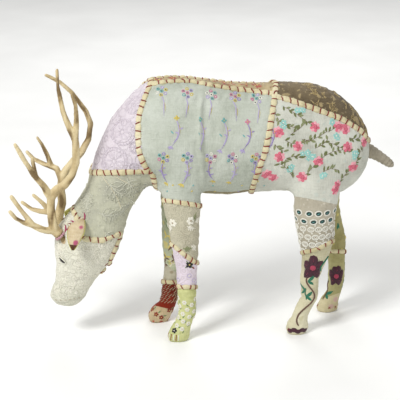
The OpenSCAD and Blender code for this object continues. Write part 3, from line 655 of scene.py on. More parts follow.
def sculpt(verts, tris):
    """Raises folds, brows and creases out of the smooth skin."""
    up = normals_of(verts, tris)
    x = verts[:, 0] / MM + MIDDLE_X
    y = verts[:, 1] / MM
    z = verts[:, 2] / MM
    chart = chart_of(verts)
    cx, cz = chart[:, 0], chart[:, 1]
    lift = 1.2 * fractal(verts, 0.055, 3, 1.0) + 0.6 * fractal(verts, 0.015, 3, 2.0)
    # Wrinkles: narrow ridges where two folds of the noise meet
    crease = 1 - np.minimum(1, 5 * np.abs(fractal(verts * np.array([1, 1, 0.5]), 0.030, 2, 3.0)))
    lift += 0.9 * crease * smooth_step(-0.2, 0.5, fractal(verts, 0.09, 1, 4.0))
    # Puckers where the cloth is drawn up along the seams
    waver = 4 * fractal(verts, 0.03, 1, 7.0)
    for along, away in ((cz, cx - on_line(SHOULDER, cz)), (cz, cx - on_line(HIP, cz)),
                        (cx, cz - on_line(BACK_SEAM, cx)), (cx, cz - on_line(RUMP_SEAM, cx)),
                        (cx, cz - on_line(NECK_SEAM, cx))):
        lift += 0.7 * np.exp(-np.abs(away) / 11) * np.sin(along / 2.6 + waver)
    # Cloth drawn into a fold down the flank and into shallow ones round it
    lift += 4.0 * bell(cx, 3 + 4 * np.sin(cz / 40), 5) * smooth_step(300, 340,
                                                                     cz) * (1 - smooth_step(470, 510, cz))
    lift -= 1.5 * bell(cx, 15 + 4 * np.sin(cz / 40), 6) * smooth_step(290, 330,
                                                                      cz) * (1 - smooth_step(480, 515, cz))
    lift += 2.0 * bell(cx, 48 - 6 * np.sin(cz / 30), 8) * smooth_step(330, 370,
                                                                      cz) * (1 - smooth_step(440, 500, cz))
    # Head: brow, eye socket, cheek, nostril and mouth
    head = x < -205
    brow = bell(x, -268, 20) * bell(z, 186, 12) * bell(np.abs(y), 34, 14)
    socket = bell(cx, -279, 11) * bell(cz, 161, 8)
    cheek = bell(x, -232, 26) * bell(z, 168, 22) * smooth_step(10, 30, np.abs(y))
    nostril = bell(x, -301, 6) * bell(z, 97, 5) * bell(np.abs(y), 17, 6)
    mouth = bell(z - 82 - 0.25 * (x + 290), 0, 2.2) * smooth_step(-300, -292,
                                                                  x) * (1 - smooth_step(-262, -252, x))
    lift += np.where(head, 2.6 * brow - 3.4 * socket + 2.2 * cheek - 3.6 * nostril - 2.0 * mouth, 0)
    # Hooves: a cleft down the front and a rim above
    for middle_x, middle_y in ((-72, -47), (-104, 49), (171, -48), (257, 50)):
        toe = (1 - smooth_step(12, 30, z)) * (np.abs(x - middle_x) < 26) * (y * middle_y > 0)
        lift -= 2.2 * toe * bell(y, middle_y, 1.8)
    # Creases round the legs
    leg = z < 255
    lift += np.where(leg,
                     1.3 * np.sin(z / 3.4 + 2.5 * fractal(verts, 0.03, 2, 5.0)) * fractal(verts, 0.04, 2,
                                                                                          6.0), 0)
    # Nothing is pressed down as far as the core under the cloth
    lift = np.maximum(lift, np.where(leg, -1.3, -2.2))
    out = verts + (lift * MM)[:, None] * up
    out[:, 2] = np.maximum(out[:, 2], 0.2 * MM)
    return out


skin_verts = sculpt(skin_verts, skin_tris)
cut_verts, cut_tris, cut_names = cut_by_label(skin_verts, skin_tris, labels_of)
skin_tree = bvh(skin_verts, skin_tris)


# ---- Patches ----

# stem of the name, kind of CAD node it stands for, slot, cloth, flat size in metres
PATCHES = {
    SADDLE: ("saddle", "patch", "saddle_print", "saddle", (0.26, 0.08)),
    FLANK_L: ("left_flank", "patch", "linen", "linen", (0.28, 0.25)),
    FLANK_R: ("right_flank", "patch", "linen", "linen", (0.28, 0.25)),
    BELLY: ("belly", "patch", "belly_print", "belly", (0.30, 0.10)),
    RUMP: ("rump", "patch", "rump_brocade", "rump", (0.24, 0.14)),
    HAUNCH_L: ("left_haunch", "patch", "rose_print", "haunch", (0.26, 0.25)),
    HAUNCH_R: ("right_haunch", "patch", "rose_print", "haunch", (0.26, 0.25)),
    UPPER_NECK: ("upper_neck", "patch", "lilac", "upper_neck", (0.30, 0.18)),
    LOWER_NECK: ("lower_neck", "patch", "neck_brocade", "lower_neck", (0.36, 0.24)),
    FACE: ("face", "patch", "lace", "face", (0.28, 0.24)),
    FL_UPPER: ("front_left_upper", "sleeve", "leg_prints", "fl_upper", (0.20, 0.13)),
    FL_KNEE: ("front_left_knee", "sleeve", "leg_prints", "fl_knee", (0.14, 0.10)),
    FL_LOWER: ("front_left_lower", "sleeve", "leg_prints", "fl_lower", (0.15, 0.13)),
    FR_UPPER: ("front_right_upper", "sleeve", "leg_prints", "fr_upper", (0.22, 0.19)),
    FR_KNEE: ("front_right_knee", "sleeve", "leg_prints", "fr_knee", (0.13, 0.06)),
    FR_LOWER: ("front_right_lower", "sleeve", "leg_prints", "fr_lower", (0.12, 0.09)),
    FR_HOOF: ("front_right_hoof", None, "leg_prints", "fr_hoof", (0.13, 0.06)),
    HL_THIGH: ("hind_left_thigh", "sleeve", "leg_prints", "hl_thigh", (0.22, 0.16)),
    HL_LOWER: ("hind_left_lower", "sleeve", "leg_prints", "hl_lower", (0.17, 0.18)),
    HR_THIGH: ("hind_right_thigh", "sleeve", "leg_prints", "hr_thigh", (0.22, 0.18)),
    HR_LOWER: ("hind_right_lower", "sleeve", "leg_prints", "hr_lower", (0.13, 0.13)),
    HR_HOOF: ("hind_right_hoof", None, "leg_prints", "hr_hoof", (0.13, 0.06)),
}


def finish_piece(obj, material, body=BODY, replaced=()):
    obj.data.materials.append(material)
    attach(obj, body)
    if replaced:
        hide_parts(*replaced)


def add_patch(label):
    stem, kind, slot, material, flat = PATCHES[label]
    tris = cut_tris[cut_names == label]
    points = cut_verts[tris]
    on_floor = points[:, :, 2].max(axis=1) < CLOTH_T
    verts, small = part_of(cut_verts, tris[~on_floor])
    obj = new_object(stem + "_cloth", verts, small)
    solid = obj.modifiers.new("thickness", "SOLIDIFY")
    solid.thickness = CLOTH_T
    solid.offset = -1
    finish_piece(obj, CLOTHS[material], replaced=[stem + "_" + kind] if kind else [])
    corners = verts[small]
    area = np.linalg.norm(np.cross(corners[:, 1] - corners[:, 0], corners[:, 2] - corners[:, 0]),
                          axis=1).sum() / 2


for patch_label in PATCHES:
    add_patch(patch_label)


# ---- Bindings and their whip stitches ----

BINDING_HALF = 6.0 * MM
STITCH_EVERY = 15.5 * MM
TAPE_STEP = 2.6 * MM
TAPE_ACROSS = 11
FLANKS = (SADDLE, FLANK_L, FLANK_R, BELLY)
HAUNCHES = (RUMP, HAUNCH_L, HAUNCH_R)
NECK = (UPPER_NECK, LOWER_NECK)
BODY_LABELS = FLANKS + HAUNCHES + NECK


def is_ring(chain):
    return np.linalg.norm(chain[0] - chain[-1]) < 1e-6


def on_skin(point, reach=0.03):
    """(nearest point of the skin, normal)"""
    hit = skin_tree.find_nearest(Vector(point), reach)
    if hit[0] is None:
        return Vector(point), Vector((0, 0, 1))
    return hit[0], hit[1]


class Pile:
    """Gathers small pieces of mesh that become one object."""

    def __init__(self):
        self.verts, self.faces = [], []

    def add(self, verts, faces):
        start = len(self.verts)
        self.verts.extend(tuple(v) for v in verts)
        self.faces.extend(tuple(i + start for i in f) for f in faces)

    def tube(self, path, radius, sides=6):
        """A round thread along a path, with rounded ends."""
        path = [Vector(p) for p in path]
        verts = []
        last = len(path) - 1
        side = heading(path, 0).orthogonal().normalized()
        for i, p in enumerate(path):
            way = heading(path, i).normalized()
            side = (side - way * side.dot(way)).normalized()
            other = way.cross(side)
            r = radius * (0.55 if i in (0, last) else 1)
            for k in range(sides):
                angle = 2 * pi * k / sides
                verts.append(p + (side * cos(angle) + other * sin(angle)) * r)
        faces = quads(last + 1, sides)
        faces.append(tuple(range(sides - 1, -1, -1)))
        faces.append(tuple(last * sides + k for k in range(sides)))
        self.add(verts, faces)

    def make(self, name, material, slot, body=BODY, replaced=()):
        if self.verts:
            finish_piece(new_object(name, self.verts, self.faces), material, body, replaced)


def tape_rows(points, closed, half, pinches):
    """Rows of points across a folded tape, drawn in where each stitch holds it down."""
    n = len(points)
    wobble = rng.uniform(0, 6)
    verts = []
    for i, p in enumerate(points):
        base, up = on_skin(p)
        side = Vector(heading(points, i, closed)).normalized().cross(up).normalized()
        puff = abs(sin(pi * (i / n * pinches % 1))) ** 0.6
        wide = half * (0.70 + 0.34 * puff + 0.06 * sin(i * 0.31 + wobble))
        high = (0.9 + 2.9 * puff + 0.3 * sin(i * 0.83 + wobble)) * MM
        for k in range(TAPE_ACROSS):
            t = -1 + 2 * k / (TAPE_ACROSS - 1)
            low, low_up = on_skin(base + side * (wide * t), 0.02)
            verts.append(low + low_up * (high * (1 - abs(t) ** 3.2) ** 0.6 + 0.05 * MM))
        for t in (0.9, -0.9):
            low, low_up = on_skin(base + side * (wide * t), 0.02)
            verts.append(low - low_up * 0.8 * MM)
    return verts


def stitch_over(first, second):
    """The path of one whip stitch over a tape, from the row first towards the row second."""
    slant = rng.uniform(-0.8, 2.2)
    row = []
    for k in range(TAPE_ACROSS):
        mid = Vector(first[k]).lerp(Vector(second[k]), (k / (TAPE_ACROSS - 1) - 0.5) * slant)
        row.append(mid + on_skin(mid)[1] * (0.75 * MM))
    out = (row[0] - row[1]).normalized()
    row.insert(0, on_skin(row[0] + out * 1.6 * MM)[0])
    row.append(on_skin(row[-1] - out * 1.6 * MM)[0])
    return row


def add_binding(name, chains, replaced=(), half=BINDING_HALF):
    tape, stitches = Pile(), Pile()
    for chain in chains:
        closed = is_ring(chain)
        points = eased(chain[:-1] if closed else chain, 60, closed)
        points = resampled(points, TAPE_STEP, closed)
        n, m = len(points), TAPE_ACROSS + 2
        pinches = max(1, round(n * TAPE_STEP / STITCH_EVERY))
        verts = tape_rows(points, closed, half, pinches)
        faces = quads(n, m, closed, flip=True)
        if not closed:
            faces.append(tuple(range(m)))
            faces.append(tuple((n - 1) * m + k for k in range(m - 1, -1, -1)))
        tape.add(verts, faces)
        for j in range(pinches + (0 if closed else 1)):
            i = min(n - 1, int(round(j * n / pinches))) % n
            q = (i + 1) % n if closed else min(n - 1, i + 1)
            stitches.tube(stitch_over(verts[i * m:], verts[q * m:]), 1.2 * MM)
    tape.make(name, CLOTHS["binding"], "binding", replaced=replaced)
    stitches.make(name + "_stitches", THREADS["red"], "binding")


add_binding("shoulder_tape", chains_between(FLANKS, NECK), ["shoulder_binding"])
add_binding("hip_tape", chains_between(FLANKS, HAUNCHES), ["hip_binding"])
add_binding("left_back_tape", chains_between([SADDLE], [FLANK_L]), ["left_back_binding"])
add_binding("right_back_tape", chains_between([SADDLE], [FLANK_R]), ["right_back_binding"])
add_binding("left_rump_tape", chains_between([RUMP], [HAUNCH_L]), ["left_rump_binding"])
add_binding("right_rump_tape", chains_between([RUMP], [HAUNCH_R]), ["right_rump_binding"])
add_binding("neck_tape", chains_between([UPPER_NECK], [LOWER_NECK]),
            ["left_neck_binding", "right_neck_binding"])
add_binding("jaw_tape", chains_between([FACE], NECK), ["jaw_binding"])
leg_joins = (chains_between([FL_UPPER], BODY_LABELS) + chains_between([FL_UPPER], [FL_KNEE])
             + chains_between([FL_KNEE], [FL_LOWER]) + chains_between([FR_KNEE], [FR_LOWER])
             + chains_between([HL_THIGH], [HL_LOWER]) + chains_between([HR_THIGH], [HR_LOWER]))
add_binding("leg_tapes", leg_joins, ["leg_bindings"], half=5.0 * MM)


# ---- Stamps: small raised figures laid on the skin ----

class Spot:
    """A place on the skin with its own flat axes, in which figures are drawn in millimetres."""

    def __init__(self, origin, direction, turn=0.0):
        hit = skin_tree.ray_cast(origin, direction, 5.0)
        self.found = hit[0] is not None
        if not self.found:
            return
        self.centre, self.normal = hit[0], hit[1]
        if self.normal.dot(direction) > 0:
            self.normal = -self.normal
        up = Vector((0, 0, 1)) if abs(self.normal.z) < 0.92 else Vector((-1, 0, 0))
        up = (up - self.normal * up.dot(self.normal)).normalized()
        right = up.cross(self.normal)
        c, s = cos(turn), sin(turn)
        self.right, self.up = right * c + up * s, up * c - right * s

    def put(self, u, v, lift):
        point = self.centre + (self.right * u + self.up * v) * MM
        base, up = on_skin(point)
        return base + up * lift * MM


def body_spot(x, z, side=-1, turn=0.0):
    """A spot where the line of sight through a chart point meets the skin."""
    eye, way = sight(x, z, side)
    return Spot(eye, way, turn)


def leg_line(names):
    """Middle of a leg at each height, from its covers: a function of height in millimetres."""
    points = cut_verts[np.unique(cut_tris[np.isin(cut_names, names)])]
    z = points[:, 2] / MM
    levels = np.arange(4, z.max() - 4, 6.0)
    rows = [points[np.abs(z - level) < 4] for level in levels]
    middle = np.array([(row.min(axis=0) + row.max(axis=0)) / 2 for row in rows])
    return lambda height: Vector((np.interp(height, levels, middle[:, 0]),
                                  np.interp(height, levels, middle[:, 1]),
                                  height * MM))


LEGS = {"fl": leg_line([FL_UPPER, FL_KNEE, FL_LOWER]), "fr": leg_line([FR_UPPER, FR_KNEE, FR_LOWER, FR_HOOF]),
        "hl": leg_line([HL_THIGH, HL_LOWER]), "hr": leg_line([HR_THIGH, HR_LOWER, HR_HOOF])}


def leg_spot(leg, height, angle, turn=0.0):
    """A spot on a leg. Angle 0 is its left side, 90 its front, in degrees."""
    a = radians(angle)
    out = Vector((-sin(a), -cos(a), 0))
    middle = LEGS[leg](height)
    return Spot(middle + out * 0.2, -out, turn)


def lies_on(spot, *labels):
    return spot.found and labels_of(np.array([spot.centre]))[0] in labels


def dome(pile, spot, u, v, radius, lift=0.7, sides=9, squash=1.0, turn=0.0):
    rings = ((1.0, -0.3), (0.86, lift * 0.55), (0.5, lift * 0.95))
    verts = []
    for reach, height in rings:
        for k in range(sides):
            angle = 2 * pi * k / sides
            a, b = radius * reach * cos(angle), radius * reach * squash * sin(angle)
            verts.append(spot.put(u + a * cos(turn) - b * sin(turn),
                                  v + a * sin(turn) + b * cos(turn), height))
    verts.append(spot.put(u, v, lift))
    faces = quads(len(rings), sides)
    faces += [(2 * sides + k, 2 * sides + (k + 1) % sides, 3 * sides) for k in range(sides)]
    pile.add(verts, faces)


def stroke(pile, spot, points, width=1.2, lift=0.6, taper=True, closed=False, step=1.6):
    """A raised line through points, thinner towards its ends."""
    path = np.array([(p[0], p[1], 0.0) for p in points], float)
    path = eased(resampled(path, step, closed), 3 if closed or len(points) > 2 else 0, closed)
    n = len(path)
    verts = []
    for i, p in enumerate(path):
        way = heading(path, i, closed)
        way = way / max(np.hypot(way[0], way[1]), 1e-9)
        share = i / max(1, n - 1)
        wide = width / 2 * (1 if closed or not taper else 0.35 + 0.65 * sin(pi * min(1, share + 0.12)) ** 0.5)
        for t, height in ((-1, -0.25), (-0.6, lift * 0.75), (0, lift), (0.6, lift * 0.75), (1, -0.25)):
            verts.append(spot.put(p[0] - way[1] * wide * t, p[1] + way[0] * wide * t, height))
    pile.add(verts, quads(n, 5, closed, around=False, flip=True))


def circle(u, v, radius, count=12, start=0.0, squash=1.0):
    return [(u + radius * cos(start + 2 * pi * k / count),
             v + radius * squash * sin(start + 2 * pi * k / count)) for k in range(count)]


def ring(pile, spot, u, v, radius, width=1.0, lift=0.7, squash=1.0):
    stroke(pile, spot, circle(u, v, radius, max(9, int(radius * 3)), squash=squash), width, lift, closed=True,
           step=1.3)


def leaf(pile, spot, u, v, length, width, turn, lift=0.5):
    """A pointed leaf whose stalk end is at u, v."""
    c, s = cos(turn), sin(turn)
    verts, steps = [], 7
    for i in range(steps + 1):
        t = i / steps
        wide = width / 2 * sin(pi * min(1, t * 0.94 + 0.06)) ** 0.8
        for side, height in ((-1, -0.2), (-0.5, lift * 0.8), (0, lift * 0.55), (0.5, lift * 0.8), (1, -0.2)):
            a, b = length * t, wide * side
            verts.append(spot.put(u + a * c - b * s, v + a * s + b * c, height))
    pile.add(verts, quads(steps + 1, 5, around=False, flip=True))


def blossom(piles, spot, u, v, radius, petal, heart, petals=5, lift=0.7, turn=0.0, hollow=None):
    for k in range(petals):
        angle = turn + 2 * pi * k / petals
        pu, pv = u + radius * 0.56 * cos(angle), v + radius * 0.56 * sin(angle)
        dome(piles[petal], spot, pu, pv, radius * 0.48, lift, 9, 0.82, angle)
        if hollow:
            stroke(piles[hollow], spot, [(u + radius * 0.2 * cos(angle), v + radius * 0.2 * sin(angle)),
                                         (pu, pv)], 0.8, lift + 0.25)
    dome(piles[heart], spot, u, v, radius * 0.24, lift + 0.35, 8)


class Piles(dict):
    """One pile for each colour of thread."""

    def __missing__(self, colour):
        self[colour] = Pile()
        return self[colour]

    def make(self, name, slot):
        for colour, pile in sorted(self.items()):
            pile.make("%s_%s" % (name, colour), THREADS[colour], slot)


# ---- Flank: rows of sequin flowers, with sprigs hanging between them ----

def sequin_flower(piles, spot, u, v, colours):
    for k in range(7):
        angle = 2 * pi * k / 6 + 0.4
        reach = 0 if k == 6 else 8.8
        pu, pv = u + reach * cos(angle), v + reach * sin(angle)
        ring(piles[colours[k % len(colours)]], spot, pu, pv, 3.1, 1.9, 1.2)
        dome(piles["white" if k % 2 else "hole"], spot, pu, pv, 1.3, 0.6, 6)


def sprig(piles, spot, u, v, length, bend, stem, bud, leaves=3):
    """A stem that hangs in a slow curve, with small leaves and a bud at its foot."""
    path = [(u + bend * sin(pi * t / 6) - bend * 0.5 * (t / 6) ** 2 * 3,
             v - length * t / 6) for t in range(7)]
    stroke(piles[stem], spot, path, 2.4, 1.0)
    stroke(piles["yellow"], spot, [(a + 1.7, b) for a, b in path[1:4]], 1.2, 0.8)
    stroke(piles["lavender"], spot, [(a - 1.5, b) for a, b in path[3:6]], 1.2, 0.8)
    foot = path[-1]
    for k in range(3):
        leaf(piles[bud], spot, foot[0], foot[1], 8, 3.6, radians(200 + 45 * k), 1.0)
    for k in range(leaves):
        at = path[2 + k]
        leaf(piles[stem], spot, at[0], at[1], 8.5, 3.2, radians(150 if k % 2 else 20), 0.8)


def flank_embroidery(side, name):
    piles = Piles()
    draw = random.Random(20 + side)
    quiet = ("purple", "teal", "lavender", "pink", "yellow", "white")
    columns = [-74 + 47 * k for k in range(5)]
    for k, x in enumerate(columns):
        low = 374 - 2.5 * k
        for z, mixed in ((low, True), (low + 136 - 3 * k, True)):
            spot = body_spot(x + draw.uniform(-3, 3), z, side)
            if spot.found:
                shades = draw.sample(quiet, 4)
                sequin_flower(piles, spot, 0, 0, shades)
        spot = body_spot(x, low - 12, side)
        if spot.found:
            sprig(piles, spot, 0, 4, 46, 5 if k % 2 else -4, "lavender" if k % 2 else "purple", "yellow")
        spot = body_spot(x, low + 120 - 3 * k, side)
        if spot.found:
            stroke(piles["lavender"], spot, [(0, 6), (3, -6), (0, -20), (-2, -34)], 2.2, 0.9)
            stroke(piles["yellow"], spot, [(1.8, -2), (4, -12), (2, -24)], 1.2, 0.8)
        spot = body_spot(x + 28, low + 76 - 2 * k, side)
        if spot.found:
            blossom(piles, spot, 0, 4, 5.6, draw.choice(["teal", "purple", "yellow", "pink"]), "yellow", 4,
                    0.9)
            sprig(piles, spot, 0, 0, 52, 7, draw.choice(["lavender", "purple", "yellow"]), "lavender", 2)
            leaf(piles["teal"], spot, -6, -26, 8, 3, radians(130), 0.7)
        for dz in (-70, -58):
            spot = body_spot(x + draw.uniform(4, 20), low + dz, side)
            if spot.found:
                dome(piles[draw.choice(["yellow", "teal", "purple"])], spot, 0, 0, 2.4, 0.7, 8, 0.7, 0.6)
    piles.make(name + "_flank_stitching", "linen")


# ---- Haunch: roses, small blue flowers and leafy stems ----

ROSES = [(231, 425), (279, 423), (291, 418), (156, 417), (239, 353), (159, 365), (137, 330), (148, 322),
         (207, 321),
         (282, 300), (276, 290), (312, 337), (334, 389), (196, 386), (300, 380)]
BLUES = [(199, 461), (164, 430), (265, 434), (276, 402), (212, 371), (222, 362), (186, 340), (318, 362),
         (250, 318)]
STEMS = [[(165, 470), (178, 462), (196, 450), (214, 436), (231, 425)],
         [(150, 455), (158, 440), (172, 430), (190, 425)],
         [(180, 410), (196, 420), (210, 432)], [(205, 400), (222, 396), (238, 404), (256, 414), (279, 423)],
         [(170, 400), (184, 392), (204, 392), (222, 400)],
         [(239, 353), (254, 364), (270, 372), (290, 374), (304, 368)],
         [(258, 392), (272, 386), (286, 378)], [(165, 350), (176, 362), (192, 366), (206, 360)],
         [(207, 321), (220, 330), (230, 342), (239, 353)], [(190, 318), (182, 332), (172, 344), (159, 352)],
         [(282, 300), (290, 314), (300, 326), (312, 337)], [(250, 330), (266, 336), (282, 332)],
         [(312, 337), (320, 352), (326, 370), (334, 389)], [(232, 380), (246, 386), (258, 398)],
         [(150, 392), (158, 382), (170, 376)], [(300, 400), (312, 396), (324, 398)]]


def rose(piles, spot, size, draw):
    for k in range(7):
        angle = 2 * pi * k / 7 + draw.uniform(-0.2, 0.2)
        dome(piles["rose" if k % 3 else "rose_pale"], spot, size * 0.55 * cos(angle), size * 0.5 * sin(angle),
             size * 0.42, 0.5, 9, 0.8, angle)
    dome(piles["rose"], spot, 0, 0, size * 0.5, 0.75, 10)
    for k in range(3):
        stroke(piles["rose_dark"], spot, circle(0, 0, size * (0.18 + 0.13 * k), 7, k * 1.9)[:5], 0.9, 0.95)


def leafy_stem(piles, side, points, draw):
    for (x0, z0), (x1, z1) in zip(points, points[1:]):
        spot = body_spot((x0 + x1) / 2, (z0 + z1) / 2, side)
        if not spot.found:
            continue
        du, dv = (x1 - x0) / 2, (z1 - z0) / 2
        flip = 1 if side < 0 else -1
        stroke(piles["brown"], spot, [(-du * flip, -dv), (0, 0), (du * flip, dv)], 1.0, 0.45, taper=False)
        heading = atan2(dv, du * flip)
        for step, sign in ((-0.8, 1), (0.0, -1), (0.8, 1)):
            sign *= draw.choice((-1, 1, 1))
            leaf(piles["olive" if draw.random() < 0.6 else "olive_pale"], spot, step * du * flip, step * dv,
                 draw.uniform(8.5, 11.5), draw.uniform(5, 6.5), heading + sign * draw.uniform(0.5, 1.1), 0.4)


def haunch_print(side, name):
    piles = Piles()
    draw = random.Random(40 + side)
    for row in STEMS:
        leafy_stem(piles, side, row, draw)
    for x, z in BLUES:
        spot = body_spot(x, z, side, draw.uniform(0, 1))
        if spot.found:
            for k in range(3):
                blossom(piles, spot, draw.uniform(-6, 6), draw.uniform(-5, 5), draw.uniform(5.5, 7.5), "aqua",
                        "white", 5, 0.4)
    for x, z in ROSES:
        spot = body_spot(x + draw.uniform(-2, 2), z, side, draw.uniform(0, 3))
        if spot.found:
            rose(piles, spot, draw.uniform(11, 13.5), draw)
    piles.make(name + "_haunch_print", "rose_print")


# ---- Neck and face: embossed rounds, long leaves and lace ----

def medallion(piles, spot, radius, colour):
    ring(piles[colour], spot, 0, 0, radius, 2.2, 1.4)
    ring(piles[colour], spot, 0, 0, radius * 0.78, 1.4, 1.1)
    for k in range(max(9, int(radius * 0.9))):
        angle = 2 * pi * k / max(9, int(radius * 0.9))
        dome(piles[colour], spot, radius * 0.9 * cos(angle), radius * 0.9 * sin(angle), radius * 0.07 + 0.4,
             0.8, 6)
    for k in range(8):
        angle = 2 * pi * k / 8
        leaf(piles[colour], spot, radius * 0.2 * cos(angle), radius * 0.2 * sin(angle), radius * 0.5,
             radius * 0.2, angle, 0.9)
    ring(piles[colour], spot, 0, 0, radius * 0.15 + 0.6, 1.0, 0.9)


def curl(pile, spot, u, v, size, turn, width=1.0, lift=0.7, way=1):
    """A spiral of thread."""
    path = []
    for k in range(18):
        angle = turn + way * k * 0.62
        reach = size * (1 - k / 19)
        path.append((u + reach * cos(angle), v + reach * sin(angle)))
    stroke(pile, spot, path, width, lift)


def frond(pile, spot, u, v, length, turn, leaves, size, lift=0.9):
    """A curved stem with paired long leaves in outline."""
    steps = leaves + 2
    stem = [(u + length * t / steps * cos(turn + 0.35 * t / steps),
             v + length * t / steps * sin(turn + 0.35 * t / steps)) for t in range(steps + 1)]
    stroke(pile, spot, stem, 2.4, lift * 1.3)
    for t in range(1, leaves + 1):
        for sign in (-1, 1):
            angle = turn + sign * 0.9 + 0.2
            reach = size * (1.1 - 0.5 * t / leaves)
            a, b = stem[t]
            side_u, side_v = -sin(angle) * reach * 0.22, cos(angle) * reach * 0.22
            tip = (a + reach * cos(angle), b + reach * sin(angle))
            mid = (a + reach * 0.5 * cos(angle), b + reach * 0.5 * sin(angle))
            for way in (-1, 1):
                stroke(pile, spot, [(a, b), (mid[0] + way * side_u, mid[1] + way * side_v), tip], 1.7, lift)


def neck_relief(side, name):
    lilac, brocade = Piles(), Piles()
    for x, z, radius in ((-153, 431, 26), (-170, 372, 27), (-128, 484, 19), (-205, 400, 13), (-128, 398, 12),
                         (-215, 366, 11), (-132, 358, 9), (-176, 462, 9)):
        spot = body_spot(x, z, side)
        if spot.found:
            # Medallions in the lighter lilac relief thread: painted highlight on raised relief of the cloth's own
            # colour.
            medallion(lilac, spot, radius, "lilac_relief_painted_highlight")
    draw = random.Random(60 + side)
    for x, z, length, turn, leaves, size in (
            (-186, 334, 74, -58, 4, 30), (-146, 338, 66, -74, 4, 27), (-222, 318, 60, -80, 4, 24),
            (-118, 322, 40, -40, 3, 20),
            (-205, 266, 56, -25, 4, 22), (-230, 272, 46, 70, 3, 18), (-168, 258, 44, 10, 3, 20),
            (-192, 226, 38, -60, 3, 16)):
        spot = body_spot(x, z, side)
        if spot.found:
            flip = radians(turn if side < 0 else 180 - turn)
            # Fronds in the lighter sage relief thread: painted highlight on raised relief of the brocade's own
            # colour.
            frond(brocade["sage_relief_painted_highlight"], spot, 0, 0, length, flip, leaves, size, 1.5)
    # Two cords laid across the brocade
    for row in (((-196, 342), (-180, 322), (-166, 296), (-158, 272)),
                ((-176, 344), (-152, 330), (-132, 316))):
        for (x0, z0), (x1, z1) in zip(row, row[1:]):
            spot = body_spot((x0 + x1) / 2, (z0 + z1) / 2, side)
            if spot.found:
                du, dv = (x1 - x0) / 2 * (1 if side < 0 else -1) * 1.06, (z1 - z0) / 2 * 1.06
                stroke(brocade["cream"], spot, [(-du, -dv), (0, 0), (du, dv)], 1.8, 1.1, taper=False)
    for k in range(26):
        spot = body_spot(draw.uniform(-235, -150), draw.uniform(235, 335), side)
        if spot.found:
            # Small raised dots in the same lighter sage relief thread: painted highlight.
            dome(brocade["sage_relief_painted_highlight"], spot, 0, 0, draw.uniform(0.9, 1.6), 0.6, 7)
    lilac.make(name + "_neck_rounds", "lilac")
    brocade.make(name + "_neck_fronds", "neck_brocade")


def face_lace(side, name):
    piles = Piles()
    draw = random.Random(80 + side)
    spot = body_spot(-286, 191, side)
    if spot.found:
        medallion(piles, spot, 10.5, "lace_thread")
    for x, z, size in ((-209, 179, 9), (-231, 190, 7), (-218, 158, 8), (-246, 176, 7), (-196, 196, 6),
                       (-233, 134, 7),
                       (-252, 128, 6), (-262, 108, 6.5), (-281, 118, 5.5), (-247, 152, 6), (-270, 138, 5),
                       (-292, 100, 5),
                       (-262, 205, 5), (-243, 208, 5), (-276, 95, 4.5), (-238, 112, 5)):
        spot = body_spot(x, z, side)
        if not spot.found:
            continue
        curl(piles["lace_thread"], spot, 0, 0, size, draw.uniform(0, 6), 1.3, 0.9, draw.choice((-1, 1)))
        for k in range(5):
            angle = draw.uniform(0, 6.28)
            leaf(piles["lace_thread"], spot, size * 1.15 * cos(angle), size * 1.15 * sin(angle),
                 draw.uniform(4, 6.5), 2.4, angle + draw.uniform(-0.6, 0.6), 0.9)
    for k in range(44):
        spot = body_spot(draw.uniform(-305, -185), draw.uniform(78, 212), side)
        if lies_on(spot, FACE):
            blossom(piles, spot, 0, 0, draw.uniform(2.2, 3.4), "lace_thread", "lace_thread", 5, 0.8)
    # Running stitches across the nose
    for k in range(7):
        spot = body_spot(-303 + 9.2 * k, 84 - 2.2 * k + 0.36 * k * k, side)
        if spot.found:
            stroke(piles["sand"], spot, [(-2.6, 0), (2.6, -0.6)], 1.1, 0.8)
    piles.make(name + "_face_lace", "lace")


# ---- Back: printed saddle and gold-worked rump ----

def back_prints():
    saddle, rump = Piles(), Piles()
    draw = random.Random(90)
    for k in range(30):
        x = draw.uniform(-100, 128)
        y = draw.uniform(-16, 16)
        origin = Vector(((x - MIDDLE_X) * MM, y * MM, 0.7))
        spot = Spot(origin, Vector((0, 0, -1)), draw.uniform(0, 6))
        if not lies_on(spot, SADDLE):
            continue
        shade = draw.choice(["saddle_red", "saddle_red", "brown", "sand"])
        for j in range(3):
            leaf(saddle[shade], spot, 0, 0, draw.uniform(8, 14), draw.uniform(4, 7),
                 2.1 * j + draw.uniform(-0.4, 0.4), 0.3)
        dome(saddle["yellow"], spot, 0, 0, 2.2, 0.5, 8)
    for k in range(120):
        angle = draw.uniform(-75, 75)
        x = draw.uniform(140, 335)
        a = radians(angle)
        out = Vector((0, -sin(a), cos(a)))
        middle = Vector(((x - MIDDLE_X) * MM, 0, 0.40))
        spot = Spot(middle + out * 0.3, -out, draw.uniform(0, 6))
        if not lies_on(spot, RUMP):
            continue
        curl(rump["gold"], spot, 0, 0, draw.uniform(4, 6.5), draw.uniform(0, 6), 1.2, 0.9,
             draw.choice((-1, 1)))
        for j in range(3):
            leaf(rump["gold" if j else "gold_dark"], spot, 4 * cos(j * 2.1), 4 * sin(j * 2.1),
                 draw.uniform(6, 9), 3, j * 2.1 + draw.uniform(-0.5, 0.5), 0.9)
    saddle.make("saddle_figures", "saddle_print")
    rump.make("rump_figures", "rump_brocade")


# ---- Legs ----

